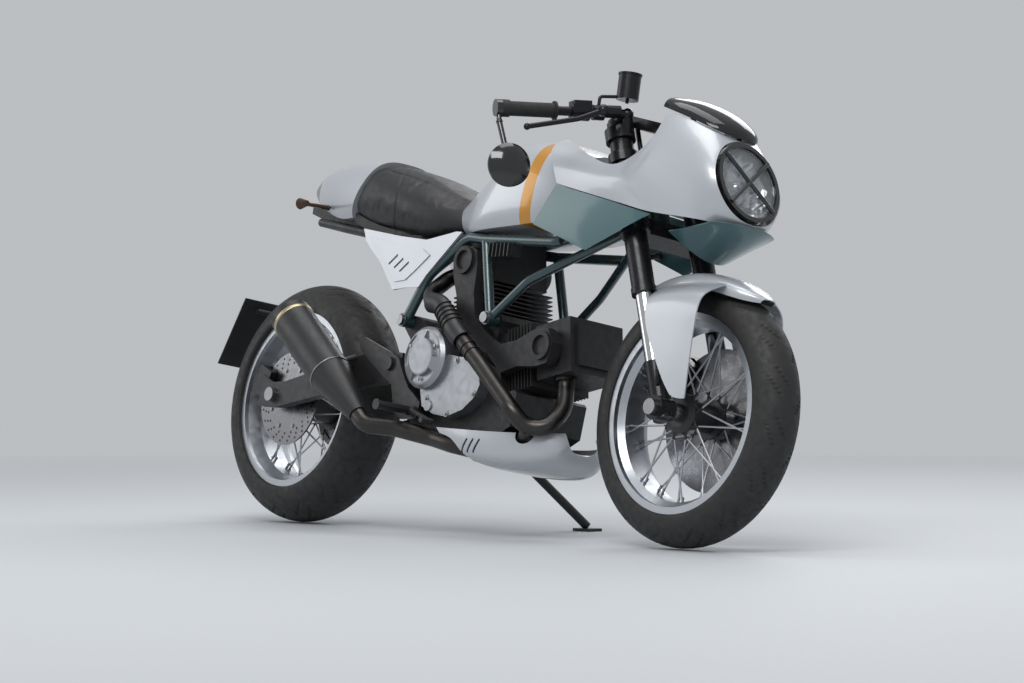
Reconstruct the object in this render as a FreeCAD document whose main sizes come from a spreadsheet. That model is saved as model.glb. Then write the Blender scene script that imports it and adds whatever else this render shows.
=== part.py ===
"""A cafe racer motorcycle, parked on its side stand.

Everything is drawn upright in the bike's own frame: +X forward, +Y left, +Z up, with the origin on the
ground under the rear axle.  The parked placement at the end leans the whole bike to the left, on to its
tyres' shoulders and its side stand's foot, and puts the origin under the middle of the leaning bike.
"""
import FreeCAD, Part
import math
import os

import Sketcher
from FreeCAD import Placement, Rotation, Vector

doc = FreeCAD.newDocument("cafe_racer")
sheet = doc.addObject("Spreadsheet::Sheet", "sizes")


# Driving dimensions in millimetres and degrees

DIMENSIONS = {
    # Stance
    "wheelbase": 1436,
    "rake": 21.8,
    "trail": 94,
    "lean": 9.72,
    "origin_ahead": 693,
    "origin_left": 135,
    "seat_gap": 0.3,
    "overrun": 4,
    # Rear wheel
    "rear_tyre_radius": 315,
    "rear_tyre_width": 170,
    "rear_tyre_crown": 78,
    "rear_rim_radius": 230,
    "rear_rim_width": 144,
    "rear_hub_radius": 62,
    "rear_hub_width": 130,
    "rear_disc_radius": 122.5,
    "rear_disc_offset": 82,
    # Front wheel
    "front_tyre_radius": 300,
    "front_tyre_width": 122,
    "front_tyre_crown": 62,
    "front_rim_radius": 228,
    "front_rim_width": 107,
    "front_hub_radius": 46,
    "front_hub_width": 108,
    "front_disc_radius": 165,
    "front_disc_offset": 70,
    # Both wheels
    "tyre_facets": 60,
    "tyre_wall": 9,
    "rim_wall": 4,
    "rim_depth": 30,
    "rim_flange": 12,
    "hub_flange": 7,
    "hub_flange_rise": 14,
    "spoke_radius": 2.2,
    "spoke_count": 36,
    "disc_thickness": 5,
    "disc_boss_radius": 42,
    "disc_boss_bore": 27,
    "axle_radius": 12.5,
    "axle_fit": 0.3,
    "axle_nut_radius": 18,
    "axle_nut_length": 14,
    # Chain and sprockets
    "rear_sprocket_radius": 99,
    "front_sprocket_radius": 38,
    "sprocket_offset": 99,
    "sprocket_thickness": 8,
    "chain_height": 15,
    "chain_width": 16,
    "chain_pitch": 15.875,
    "chain_gap": 0.5,
    "chain_waist_length": 4,
    "chain_waist_depth": 3,
    "sprocket_pocket_depth": 34,
    # Fork and steering
    "fork_spacing": 210,
    "stanchion_radius": 21.5,
    "fork_outer_radius": 27,
    "stanchion_start": 112,
    "fork_outer_start": 280,
    "fork_length": 716,
    "fork_cap_radius": 23,
    "fork_cap_height": 8,
    "fork_collar_rise": 2,
    "fork_collar_length": 16,
    "fork_bottom_radius": 24,
    "fork_bottom_width": 38,
    "lower_clamp_reach": 432,
    "lower_clamp_height": 40,
    "top_clamp_reach": 610,
    "top_clamp_height": 24,
    "clamp_wall": 8,
    "stem_radius": 17,
    "head_tube_radius": 30,
    "bearing_gap": 0.4,
    "running_fit": 0.08,
    "bridge_depth": 58,
    "stem_nut_height": 12,
    "stem_nut_radius": 16,
    "fork_bottom_drop": 26,
    "bar_inner_side": 118,
    "bar_rise": 48,
    "bar_ahead": 46,
    "bar_sweep": 21.8,
    "bar_drop": 8,
    "bar_length": 288,
    "riser_radius": 12,
    "knuckle_radius": 14,
    "grip_length": 112,
    "grip_flange": 5,
    "switch_place": 96,
    "switch_radius": 21,
    "switch_length": 42,
    "perch_place": 60,
    "perch_radius": 18,
    "perch_length": 26,
    "lever_reach": 38,
    "lever_length": 178,
    "master_length": 40,
    "master_radius": 12,
    "lever_sag": 46,
    "lever_tip_radius": 8,
    "mirror_ahead": 45,
    "mirror_side": -9,
    "mirror_drop": 132,
    "left_mirror_ahead": 78,
    "left_mirror_drop": 28,
    "mirror_turn": 22,
    "mirror_band": 6,
    "mirror_arm_radius": 7,
    "reservoir_ahead": 32,
    "reservoir_side": 56,
    "reservoir_rise": 40,
    "fender_gap": 19,
    "fender_half_width": 72,
    "fender_side": 40,
    "fender_start": 54,
    "fender_end": 118,
    "fender_leg_side": 139,
    "fender_length": 220,
    "fender_rise": 310,
    "fender_arm_radius": 5,
    "caliper_angle": 146,
    "caliper_depth": 44,
    "caliper_width": 58,
    "caliper_length": 118,
    "caliper_slot": 15,
    "caliper_plate": 8,
    "caliper_piston_radius": 17,
    "rear_caliper_angle": 158,
    "rear_caliper_depth": 26,
    "rear_caliper_width": 52,
    "rear_caliper_length": 74,
    # Bars and controls
    "bar_radius": 11,
    "grip_radius": 17,
    "bar_ring_reach": 668,
    "bar_ring_height": 30,
    "bar_end_radius": 20,
    "bar_end_length": 18,
    "mirror_radius": 50,
    "mirror_depth": 18,
    "lever_width": 12,
    "reservoir_radius": 26,
    "reservoir_height": 58,
    # Frame and swingarm
    "trellis_back": 489,
    "trellis_base": 508,
    "trellis_length": 338,
    "trellis_height": 204,
    "head_joint_drop": 40,
    "head_joint_rise": 36,
    "rail_half_width": 88,
    "rail_front_ahead": 610,
    "rail_front_height": 676,
    "rail_middle_ahead": 450,
    "rail_middle_height": 712,
    "rail_back_ahead": -20,
    "rail_back_half_width": 45,
    "rail_back_height": 790,
    "pivot_bolt_radius": 11,
    "spacer_radius": 20,
    "front_sprocket_ahead": 562,
    "front_sprocket_height": 392,
    "frame_tube_radius": 13,
    "brace_tube_radius": 11,
    "down_tube_radius": 12,
    "frame_half_width": 116,
    "mount_ring_radius": 17,
    "mount_hole_radius": 11,
    "swing_pivot_ahead": 489,
    "swing_pivot_height": 395,
    "swing_pivot_radius": 24,
    "swing_half_width": 111,
    "swing_arm_width": 28,
    "swing_arm_height": 62,
    # Engine
    "crank_ahead": 752,
    "crank_height": 386,
    "case_ahead": 532,
    "case_base": 205,
    "pan_gap": 6,
    "cylinder_tilt": 11.8,
    "case_half_width": 112,
    "fin_pitch": 11,
    "fin_thickness": 3,
    "fin_half_width": 92,
    "fin_half_depth": 78,
    "barrel_radius": 58,
    "barrel_start": 118,
    "barrel_length": 96,
    "head_length": 118,
    "head_half_width": 84,
    "head_half_depth": 66,
    "cam_ring_radius": 34,
    "cam_ring_depth": 46,
    "clutch_radius": 76.5,
    "clutch_depth": 46,
    "pipe_radius": 20,
    "muffler_radius": 54,
    "muffler_offset": 205,
    "cam_cup_radius": 24,
    "cam_cup_depth": 8,
    "belt_cover_depth": 10,
    "case_length": 430,
    "case_height": 275,
    "clutch_ahead": 637,
    "clutch_height": 408,
    "clutch_rim": 8,
    "clutch_crown": 8,
    "clutch_badge_radius": 42,
    "recess_sweep": 84,
    "case_boss_radius": 9,
    "plug_radius": 13,
    "lower_case_ahead": 618,
    "lower_case_height": 262,
    "lower_case_length": 232,
    "lower_case_tall": 150,
    "lower_case_depth": 34,
    "generator_ahead": 760,
    "generator_radius": 92,
    "generator_depth": 42,
    "cover_plate_ahead": 526,
    "cover_plate_height": 330,
    "cover_plate_length": 128,
    "pipe_side": 169,
    "pipe_height": 500,
    "pipe_bend": 90,
    "shield_gap": 3,
    "link_radius": 15,
    "duct_radius": 21,
    "collector_ahead": 880,
    "collector_side": -20,
    "collector_height": 189,
    "collector_length": 104,
    "collector_width": 220,
    "collector_depth": 28,
    "muffler_inlet_ahead": 464,
    "muffler_inlet_height": 258,
    "muffler_end_ahead": 127,
    "muffler_end_height": 506,
    "muffler_cap_depth": 14,
    "muffler_cap_radius": 39,
    "muffler_mouth_radius": 26,
    # Bodywork
    "panel_wall": 3,
    "tank_length": 500,
    "tank_half_width": 160,
    "tank_height": 250,
    "tank_back": 660,
    "tank_base": 700,
    "seat_length": 500,
    "seat_half_width": 140,
    "seat_height": 200,
    "seat_back": 150,
    "seat_base": 750,
    "cowl_length": 300,
    "cowl_half_width": 120,
    "cowl_height": 160,
    "cowl_back": -108,
    "cowl_base": 785,
    "tail_lamp_length": 40,
    "tray_depth": 25,
    "tray_half_width": 92,
    "indicator_ahead": 63,
    "indicator_side": 170,
    "indicator_height": 812,
    "indicator_radius": 15,
    "fairing_back": 1050,
    "fairing_base": 500,
    "fairing_length": 500,
    "fairing_half_width": 200,
    "fairing_height": 500,
    "lamp_radius": 95,
    "lamp_back_radius": 55,
    "lamp_depth": 90,
    "lamp_tilt": 18,
    "lamp_ahead": 1513,
    "lamp_height": 829,
    "lamp_bezel": 10,
    "guard_radius": 5,
    "guard_turn": 42,
    "stay_radius": 9,
    "stay_reach": 540,
    "stay_fork_ahead": 1388,
    "stay_fork_height": 788,
    "stay_high": 925,
    "stay_screen_side": 74,
    "instrument_ahead": 1228,
    "instrument_side": 46,
    "instrument_height": 965,
    "instrument_tilt": 13,
    "instrument_length": 100,
    "instrument_width": 62,
    "instrument_depth": 26,
    "instrument_post_radius": 6,
    "instrument_post_length": 86,
    "regulator_ahead": 836,
    "regulator_height": 672,
    "regulator_length": 84,
    "regulator_width": 30,
    "regulator_depth": 32,
    "plate_thickness": 10,
    "plate_back": 350,
    "plate_base": 255,
    "plate_length": 290,
    "plate_height": 210,
    "plate_boss_radius": 14,
    "bolt_head": 8,
    "peg_radius": 11,
    "peg_length": 96,
    "pedal_radius": 6,
    "pedal_toe_ahead": 712,
    "pedal_toe_side": 178,
    "pedal_toe_height": 250,
    "pedal_toe_length": 34,
    "pan_back": 722,
    "pan_base": 150,
    "pan_length": 350,
    "pan_half_width": 160,
    "pan_height": 95,
    "stand_room_length": 250,
    "slot_tilt": 35,
    "slot_length": 40,
    "slot_height": 6,
    "cover_back": 290,
    "cover_base": 580,
    "cover_length": 396,
    "cover_height": 166,
    "cover_depth": 6,
    "tube_bend": 60,
    "holder_foot_back": 42,
    "holder_radius": 8,
    "holder_low_ahead": -120,
    "holder_low_height": 520,
    "holder_back": -258,
    "holder_height": 556,
    "number_plate_width": 180,
    "number_plate_height": 198,
    "number_plate_rise": 26,
    "number_plate_tilt": 26.4,
    # Stand
    "stand_foot_ahead": 760,
    "stand_foot_side": 330,
    "stand_foot_length": 62,
    "stand_foot_width": 42,
    "stand_foot_height": 7,
    "stand_eye_length": 27,
    "stand_ear_thickness": 16,
    "stand_arm_radius": 7,
    "stand_stow_drop": 7,
    "stand_stow_out": 12,
    "stand_bracket_rise": 44,
    "stand_tube_radius": 11,
    "stand_pivot_radius": 8,
    "stand_pivot_ahead": 690,
    "stand_pivot_side": 140,
    "stand_pivot_height": 205,
    "shock_side": 180,
    "shock_low_ahead": 330,
    "shock_low_height": 396,
    "shock_high_ahead": 510,
    "shock_high_height": 660,
    "shock_body_radius": 13,
    "shock_coil_radius": 24,
    "shock_wire_radius": 5,
    "shock_eye_length": 26,
    "shock_bolt_radius": 7,
}


def write_sheet():
    """Each driving dimension is a plain number in column B under its own alias."""
    for row, (alias, number) in enumerate(DIMENSIONS.items(), start=1):
        sheet.set(f"A{row}", alias)
        sheet.set(f"B{row}", str(number))
        sheet.setAlias(f"B{row}", alias)
    doc.recompute()


write_sheet()


class Size:
    """A size with its number and the sheet expression that gives it."""

    def __init__(self, number, text):
        self.number = float(number)
        self.text = text

    def __float__(self):
        return self.number

    def _join(self, other, mark, number, flip=False):
        words = other.text if isinstance(other, Size) else repr(float(other))
        first, last = (words, self.text) if flip else (self.text, words)
        return Size(number, f"({first} {mark} {last})")

    def __add__(self, other):
        return self._join(other, "+", float(self) + float(other))

    def __radd__(self, other):
        return self._join(other, "+", float(other) + float(self), flip=True)

    def __sub__(self, other):
        return self._join(other, "-", float(self) - float(other))

    def __rsub__(self, other):
        return self._join(other, "-", float(other) - float(self), flip=True)

    def __mul__(self, other):
        return self._join(other, "*", float(self) * float(other))

    def __rmul__(self, other):
        return self._join(other, "*", float(other) * float(self), flip=True)

    def __truediv__(self, other):
        return self._join(other, "/", float(self) / float(other))

    def __neg__(self):
        return Size(-self.number, f"(-{self.text})")


class Sizes:
    """The sheet's aliases, read as s.alias."""

    def __getattr__(self, alias):
        return Size(sheet.get(alias), f"sizes.{alias}")


s = Sizes()


# Frames of the bike

def spot(x, y, z):
    return Vector(float(x), float(y), float(z))


def shoulder_lift(radius, width, crown):
    """How far a leaning tyre with an oval crown stands up from its upright height."""
    lean = math.radians(float(s.lean))
    across = float(width) / 2 * math.sin(lean)
    down = float(crown) * math.cos(lean)
    return math.hypot(across, down) - down


rear_lift = shoulder_lift(s.rear_tyre_radius, s.rear_tyre_width, s.rear_tyre_crown)
front_lift = shoulder_lift(s.front_tyre_radius, s.front_tyre_width, s.front_tyre_crown)
front_axle_height = float(s.front_tyre_radius) + front_lift - rear_lift

rear_axle = spot(0, 0, s.rear_tyre_radius)
front_axle = spot(s.wheelbase, 0, front_axle_height)
swing_pivot = spot(s.swing_pivot_ahead, 0, s.swing_pivot_height)
crank = spot(s.crank_ahead, 0, s.crank_height)

rake = math.radians(float(s.rake))
steer_up = Vector(-math.sin(rake), 0, math.cos(rake))
steer_ahead = Vector(math.cos(rake), 0, math.sin(rake))
steer_foot = spot(s.wheelbase + s.trail, 0, 0)
fork_offset = (front_axle - steer_foot).dot(steer_ahead)

parked = Placement(
    Vector(-float(s.origin_ahead), -float(s.origin_left), rear_lift),
    Rotation(Vector(1, 0, 0), -float(s.lean)),
)


def along_fork(reach, side=0.0, ahead=0.0):
    """A point on the fork legs' plane: reach up the legs from the axle, to one side, ahead of the legs."""
    return front_axle + steer_up * float(reach) + steer_ahead * float(ahead) + Vector(0, float(side), 0)


def on_steering(reach, side=0.0, ahead=0.0):
    """The same, measured ahead of the steering axis."""
    return along_fork(reach, side, float(ahead) - fork_offset)


# Building blocks

kept = []


def put(thing, **values):
    """Sets the properties of an object, and binds those that are sizes to the sheet."""
    for name, value in values.items():
        if isinstance(value, Size):
            thing.setExpression(name, value.text)
            value = float(value)
        setattr(thing, name, value)
    return thing


def keep(label, *things):
    """Names a sub-part and parks it."""
    thing = things[0] if len(things) == 1 else group(label + "_group", *things)
    thing.Label = label
    doc.recompute()
    thing.Placement = parked.multiply(thing.Placement)
    kept.append(thing)
    return thing


def group(name, *things):
    both = doc.addObject("Part::Compound", name)
    both.Links = list(things)
    return both


def fuse(name, *things):
    whole = doc.addObject("Part::MultiFuse", name)
    whole.Shapes = list(things)
    return whole


def cut(name, base, *tools):
    tool = tools[0] if len(tools) == 1 else fuse(name + "_tools", *tools)
    rest = doc.addObject("Part::Cut", name)
    rest.Base = base
    rest.Tool = tool
    return rest


def towards(start, direction, roll=None):
    """A placement at start whose Z looks along direction, and whose X looks along roll as far as it can."""
    if roll is None:
        return Placement(start, Rotation(Vector(0, 0, 1), direction))
    return Placement(start, Rotation(roll, Vector(0, 0, 0), direction, "ZXY"))


def rod(name, start, direction, radius, length):
    thing = doc.addObject("Part::Cylinder", name)
    put(thing, Radius=radius, Height=length)
    thing.Placement = towards(start, direction)
    return thing


def bar(name, start, end, radius):
    return rod(name, start, end - start, radius, (end - start).Length)


def cone(name, start, end, first_radius, last_radius):
    thing = doc.addObject("Part::Cone", name)
    put(thing, Radius1=first_radius, Radius2=last_radius, Height=(end - start).Length)
    thing.Placement = towards(start, end - start)
    return thing


def ball(name, centre, radius):
    thing = doc.addObject("Part::Sphere", name)
    put(thing, Radius=radius)
    thing.Placement = Placement(centre, Rotation())
    return thing


def block(name, middle, along, across, up, turn=None):
    """A box by its middle and its three sizes."""
    thing = doc.addObject("Part::Box", name)
    put(thing, Length=along, Width=across, Height=up)
    turn = turn or Rotation()
    half = Vector(float(along) / 2, float(across) / 2, float(up) / 2)
    thing.Placement = Placement(middle - turn.multVec(half), turn)
    return thing


def sleeve(name, start, direction, radius, bore, length):
    """A tube: an outer cylinder less a longer one."""
    unit = Vector(direction).normalize()
    outer = rod(name + "_outer", start, direction, radius, length)
    back = start - unit * float(s.overrun)
    inner = rod(name + "_bore", back, direction, bore, length + 2 * s.overrun)
    return cut(name, outer, inner)


def shape(name, made):
    thing = doc.addObject("Part::Feature", name)
    thing.Shape = made
    return thing


def bent_wire(points, radius):
    """Straight runs joined by tangent arcs: the arc at each inner point is as near radius as its runs allow."""
    edges = []
    start = points[0]
    for back, corner, ahead in zip(points, points[1:], points[2:]):
        u = Vector(back - corner).normalize()
        v = Vector(ahead - corner).normalize()
        half = (math.pi - u.getAngle(v)) / 2
        room = 0.45 * min((back - corner).Length, (ahead - corner).Length)
        trim = min(float(radius) * math.tan(half), room)
        first = corner + u * trim
        last = corner + v * trim
        inward = Vector(u + v).normalize()
        sagitta = trim / math.tan(half) * (1 / math.cos(half) - 1)
        middle = corner + inward * sagitta
        edges.append(Part.LineSegment(start, first).toShape())
        edges.append(Part.Arc(first, middle, last).toShape())
        start = last
    edges.append(Part.LineSegment(start, points[-1]).toShape())
    return Part.Wire(edges)


def tube(name, points, radius, bend=60):
    """A round tube swept along a bent path."""
    path = shape(name + "_path", bent_wire(points, bend))
    ring = doc.addObject("Part::Circle", name + "_ring")
    put(ring, Radius=radius)
    ring.Placement = towards(points[0], points[1] - points[0])
    swept = doc.addObject("Part::Sweep", name)
    swept.Sections = [ring]
    swept.Spine = (path, [f"Edge{i + 1}" for i in range(len(path.Shape.Edges))])
    swept.Solid = True
    swept.Frenet = False
    swept.Transition = "Right corner"
    return swept


def mirrored(name, thing):
    """The same piece on the other side of the bike."""
    other = doc.addObject("Part::Mirroring", name)
    other.Source = thing
    other.Normal = Vector(0, 1, 0)
    other.Base = Vector(0, 0, 0)
    return other


def role_plane(body, role):
    return next(plane for plane in body.Origin.OriginFeatures if plane.Role == role)


def sketch_body(name, role, outlines):
    body = doc.addObject("PartDesign::Body", name)
    sketch = body.newObject("Sketcher::SketchObject", name + "_sketch")
    sketch.AttachmentSupport = (role_plane(body, role), [""])
    sketch.MapMode = "FlatFace"
    for outline in outlines:
        shift = sketch.GeometryCount
        add_outline(sketch, outline, shift)
    doc.recompute()
    return body, sketch


def add_outline(sketch, corners, shift):
    count = len(corners)
    for first, last in zip(corners, corners[1:] + corners[:1]):
        sketch.addGeometry(Part.LineSegment(spot(*first, 0), spot(*last, 0)), False)
    for index in range(count):
        after = (index + 1) % count
        sketch.addConstraint(Sketcher.Constraint("Coincident", shift + index, 2, shift + after, 1))
    for index, corner in enumerate(corners):
        for kind, value in zip(("DistanceX", "DistanceY"), corner):
            place = Sketcher.Constraint(kind, -1, 1, shift + index, 1, float(value))
            held = sketch.addConstraint(place)
            if isinstance(value, Size):
                sketch.setExpression(f"Constraints[{held}]", value.text)


def turned(name, centre, profile):
    """A turned piece about an axle along Y: profile points are (radius, distance along Y)."""
    body, sketch = sketch_body(name, "XY_Plane", [profile])
    spin = body.newObject("PartDesign::Revolution", name + "_turned")
    spin.Profile = sketch
    spin.ReferenceAxis = (sketch, ["V_Axis"])
    spin.Angle = 360
    body.Tip = spin
    body.Placement = Placement(centre, Rotation())
    return body


def side_plate(name, outlines, y_middle, thickness):
    """A plate in the plane of the bike: outline points are (x, z)."""
    body, sketch = sketch_body(name, "XZ_Plane", outlines)
    pad = body.newObject("PartDesign::Pad", name + "_plate")
    pad.Profile = sketch
    put(pad, Length=thickness)
    pad.Midplane = True
    body.Tip = pad
    body.Placement = Placement(Vector(0, float(y_middle), 0), Rotation())
    return body


# Free-form shells

def knots_for(count, degree):
    inner = count - degree - 1
    knots = [float(i) for i in range(inner + 2)]
    mults = [degree + 1] + [1] * inner + [degree + 1]
    return knots, mults


def net_surface(poles):
    """A smooth surface drawn by a net of control points."""
    rows, columns = len(poles), len(poles[0])
    across, along = min(3, rows - 1), min(3, columns - 1)
    row_knots, row_mults = knots_for(rows, across)
    column_knots, column_mults = knots_for(columns, along)
    surface = Part.BSplineSurface()
    surface.buildFromPolesMultsKnots(
        poles, row_mults, column_mults, row_knots, column_knots, False, False, across, along
    )
    return surface


def net_normals(poles):
    rows, columns = len(poles), len(poles[0])
    normals = []
    for i in range(rows):
        line = []
        for j in range(columns):
            down = poles[min(i + 1, rows - 1)][j] - poles[max(i - 1, 0)][j]
            side = poles[i][min(j + 1, columns - 1)] - poles[i][max(j - 1, 0)]
            normal = down.cross(side)
            line.append(normal.normalize() if normal.Length > 1e-6 else Vector(0, 0, 0))
        normals.append(line)
    return normals


def sewn(faces):
    """A closed solid from faces that share their edges."""
    shell = Part.makeShell(faces)
    shell.sewShape()
    solid = Part.makeSolid(shell)
    if solid.Volume < 0:
        solid.reverse()
    return solid


def edge_faces(outer, inner):
    """The four rim faces between two surfaces with the same knots."""
    u0, u1, v0, v1 = outer.bounds()
    faces = []
    for place in (u0, u1):
        faces.append(Part.makeRuledSurface(outer.uIso(place).toShape(), inner.uIso(place).toShape()))
    for place in (v0, v1):
        faces.append(Part.makeRuledSurface(outer.vIso(place).toShape(), inner.vIso(place).toShape()))
    return faces


def shell_panel(poles, wall):
    """A panel of even thickness behind its net."""
    normals = net_normals(poles)
    behind = [
        [pole - normal * float(wall) for pole, normal in zip(row, line)]
        for row, line in zip(poles, normals)
    ]
    outer, inner = net_surface(poles), net_surface(behind)
    return sewn([outer.toShape(), inner.toShape()] + edge_faces(outer, inner))


def closed_hull(rows):
    """A solid over stations from back to front; each row runs from the right foot over to the left."""
    surface = net_surface(rows)
    u0, u1, v0, v1 = surface.bounds()
    right, left = surface.vIso(v0).toShape(), surface.vIso(v1).toShape()
    floor = Part.makeRuledSurface(right, left)
    faces = [surface.toShape(), floor]
    for place in (u0, u1):
        rim = surface.uIso(place).toShape()
        ends = [vertex.Point for vertex in rim.Vertexes]
        faces.append(Part.Face(Part.Wire([rim, Part.LineSegment(ends[1], ends[0]).toShape()])))
    return sewn(faces)


def whole_row(half):
    """Adds the left half to a row that runs from the right foot to the middle."""
    return half + [Vector(p.x, -p.y, p.z) for p in reversed(half[:-1])]


def other_side(rows):
    return [[Vector(p.x, -p.y, p.z) for p in reversed(row)] for row in rows]


def station_hull(station_shares, section_shares, back, base, length, half_width, height):
    """A hull by stations of (along, lean, width, low, high) with one section of (side, rise)."""
    rows = []
    for along, lean, width, low, high in station_shares:
        half = []
        for side, rise in section_shares:
            z = float(height) * (low + rise * (high - low))
            x = float(length) * along + lean * z
            half.append(spot(float(back) + x, -side * width * float(half_width), float(base) + z))
        rows.append(whole_row(half))
    return closed_hull(rows)


# Wheels

tyre_turn_shares = (0.0, 0.14, 0.28, 0.42, 0.58, 0.72, 0.86, 1.0)
tyre_inner_turn_shares = (0.2, 0.8)
spoke_reach_share = 3.2


def make_wheel(end, centre, radius, width, crown, rim_radius, rim_width):
    """Tyre and rim of one wheel."""
    hub_y = float(width) / 2
    flange = float(rim_radius) + float(s.seat_gap)
    bead = float(rim_width) / 2
    wall = float(s.tyre_wall)
    section = tyre_section(float(radius), hub_y, float(crown), flange, bead, wall)
    keep(end + "_tyre", shape(end + "_tyre_body", tyre_ring(centre, section, round(float(s.tyre_facets)))))

    half = rim_width / 2
    lip = half - s.rim_flange
    profile = [
        (rim_radius, half),
        (rim_radius, half - s.rim_wall),
        (rim_radius - s.rim_flange, lip),
        (rim_radius - s.rim_depth / 2, s.rim_depth),
        (rim_radius - s.rim_depth / 2, -s.rim_depth),
        (rim_radius - s.rim_flange, -lip),
        (rim_radius, s.rim_wall - half),
        (rim_radius, -half),
        (rim_radius - s.rim_flange - s.rim_wall, -half),
        (rim_radius - s.rim_flange - s.rim_wall, -lip),
        (rim_radius - s.rim_depth, -s.rim_depth),
        (rim_radius - s.rim_depth, s.rim_depth),
        (rim_radius - s.rim_flange - s.rim_wall, lip),
        (rim_radius - s.rim_flange - s.rim_wall, half),
    ]
    keep(end + "_rim", turned(end + "_rim_body", centre, profile))


def tyre_section(radius, half_width, crown, flange, bead, wall):
    """A tyre's section: crown facets on an oval, over straight walls that stand on the rim's flanges."""
    def oval(high, wide, turn_shares):
        return [
            Vector(radius - crown + high * math.sin(math.pi * share), wide * math.cos(math.pi * share), 0)
            for share in turn_shares
        ]

    outer = oval(crown, half_width, tyre_turn_shares)
    inner = oval(crown - wall, half_width - wall, tyre_inner_turn_shares)
    left_foot = [Vector(flange, bead - wall, 0), Vector(flange, bead, 0)]
    right_foot = [Vector(flange, -bead, 0), Vector(flange, wall - bead, 0)]
    return outer + right_foot + inner[::-1] + left_foot


def tyre_ring(centre, section, count):
    """A ring of flat facets round the wheel's axle; one row of corners points straight down."""
    rings = []
    for index in range(count):
        turn = 2 * math.pi * index / count
        rings.append([
            centre + Vector(p.x * math.sin(turn), p.y, -p.x * math.cos(turn)) for p in section
        ])
    faces = []
    for index, ring in enumerate(rings):
        following = rings[(index + 1) % count]
        for step in range(len(section)):
            ahead = (step + 1) % len(section)
            corners = [ring[step], ring[ahead], following[ahead], following[step]]
            faces.append(Part.Face(Part.makePolygon(corners + corners[:1])))
    return sewn(faces)


def make_hub(end, centre, hub_radius, hub_width, rim_radius):
    """A hub with two drilled flanges and its crossed wire spokes."""
    half = hub_width / 2
    bore = s.axle_radius + s.running_fit
    waist = hub_radius - s.hub_flange_rise
    profile = [
        (bore, half),
        (waist, half),
        (hub_radius, half - s.hub_flange),
        (hub_radius, half - 2 * s.hub_flange),
        (waist, half - 2 * s.hub_flange),
        (waist, 2 * s.hub_flange - half),
        (hub_radius, 2 * s.hub_flange - half),
        (hub_radius, s.hub_flange - half),
        (waist, -half),
        (bore, -half),
    ]
    core = turned(end + "_hub_core", centre, profile)
    spokes = [core]
    count = int(float(s.spoke_count))
    seat = float(rim_radius) - float(s.rim_depth) - float(s.seat_gap) - float(s.spoke_radius) / 2
    hole = float(hub_radius) - float(s.hub_flange) / 2
    flange_y = float(half) - float(s.hub_flange) - float(s.hub_flange) / 2
    turn = 2 * math.pi / count
    reach = spoke_reach_share * turn
    for index in range(count):
        side = 1 if index % 2 else -1
        sense = 1 if index % 4 < 2 else -1
        foot = index * turn
        tip = foot + sense * reach
        start = spot(hole * math.cos(foot), side * flange_y, hole * math.sin(foot))
        stop = spot(seat * math.cos(tip), side * float(s.rim_depth) / 2, seat * math.sin(tip))
        spokes.append(bar(f"{end}_spoke_{index}", centre + start, centre + stop, s.spoke_radius))
    keep(end + "_hub", fuse(end + "_hub_fuse", *spokes))


def make_disc(end, side, centre, radius, offset, hub_width):
    """A brake disc on a boss that seats on the hub's end; side is -1 on the right and 1 on the left."""
    half = s.disc_thickness / 2
    foot = hub_width / 2 + s.seat_gap
    profile = [
        (radius, side * (offset + half)),
        (radius, side * (offset - half)),
        (s.disc_boss_radius, side * (offset - half)),
        (s.disc_boss_radius, side * foot),
        (s.disc_boss_bore, side * foot),
        (s.disc_boss_bore, side * (offset + half)),
    ]
    keep(end, turned(end + "_body", centre, profile))


make_wheel("rear", rear_axle, s.rear_tyre_radius, s.rear_tyre_width, s.rear_tyre_crown,
           s.rear_rim_radius, s.rear_rim_width)
make_wheel("front", front_axle, s.front_tyre_radius, s.front_tyre_width, s.front_tyre_crown,
           s.front_rim_radius, s.front_rim_width)
make_hub("rear", rear_axle, s.rear_hub_radius, s.rear_hub_width, s.rear_rim_radius)
make_hub("front", front_axle, s.front_hub_radius, s.front_hub_width, s.front_rim_radius)

make_disc("rear_disc", -1, rear_axle, s.rear_disc_radius, s.rear_disc_offset, s.rear_hub_width)
make_disc("front_disc", 1, front_axle, s.front_disc_radius, s.front_disc_offset, s.front_hub_width)
make_disc("rear_sprocket", 1, rear_axle, s.rear_sprocket_radius - s.chain_height / 2 - s.chain_gap,
          s.sprocket_offset, s.rear_hub_width)


# Frame

def on_side(side, along, half_width, height):
    """A point beside the bike: side is -1 on the right and 1 on the left."""
    return spot(along, side * float(half_width), height)


def placed(shares, along, height, length, tall):
    """An outline of shares of a length and a height, from a named corner."""
    return [(along + length * x, height + tall * z) for x, z in shares]


frame_joint_shares = {
    "foot": (0.0, 0.0, 1.0),
    "knee": (0.2, 0.55, 1.0),
    "hip": (0.6, 1.0, 1.0),
    "crown": (0.8, 0.96, 1.0),
    "mount": (0.98, 0.0, 1.05),
    "nose": (1.62, 0.88, 1.0),
    "brace": (1.32, 0.44, 1.0),
}


def trellis(side, joint, out=0.0):
    """A joint of the trellis by its shares of the trellis's length, height and half width."""
    along_share, up_share, width_share = frame_joint_shares[joint]
    return on_side(
        side,
        s.trellis_back + s.trellis_length * along_share,
        s.frame_half_width * width_share + out,
        s.trellis_base + s.trellis_height * up_share,
    )


def main_tube_points(side):
    """The line of one upper tube, from the swingarm's mounting ring to the head tube."""
    high_head = on_steering(s.top_clamp_reach - s.head_joint_drop)
    return [trellis(side, joint) for joint in ("foot", "knee", "hip", "crown", "nose")] + [high_head]


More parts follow.
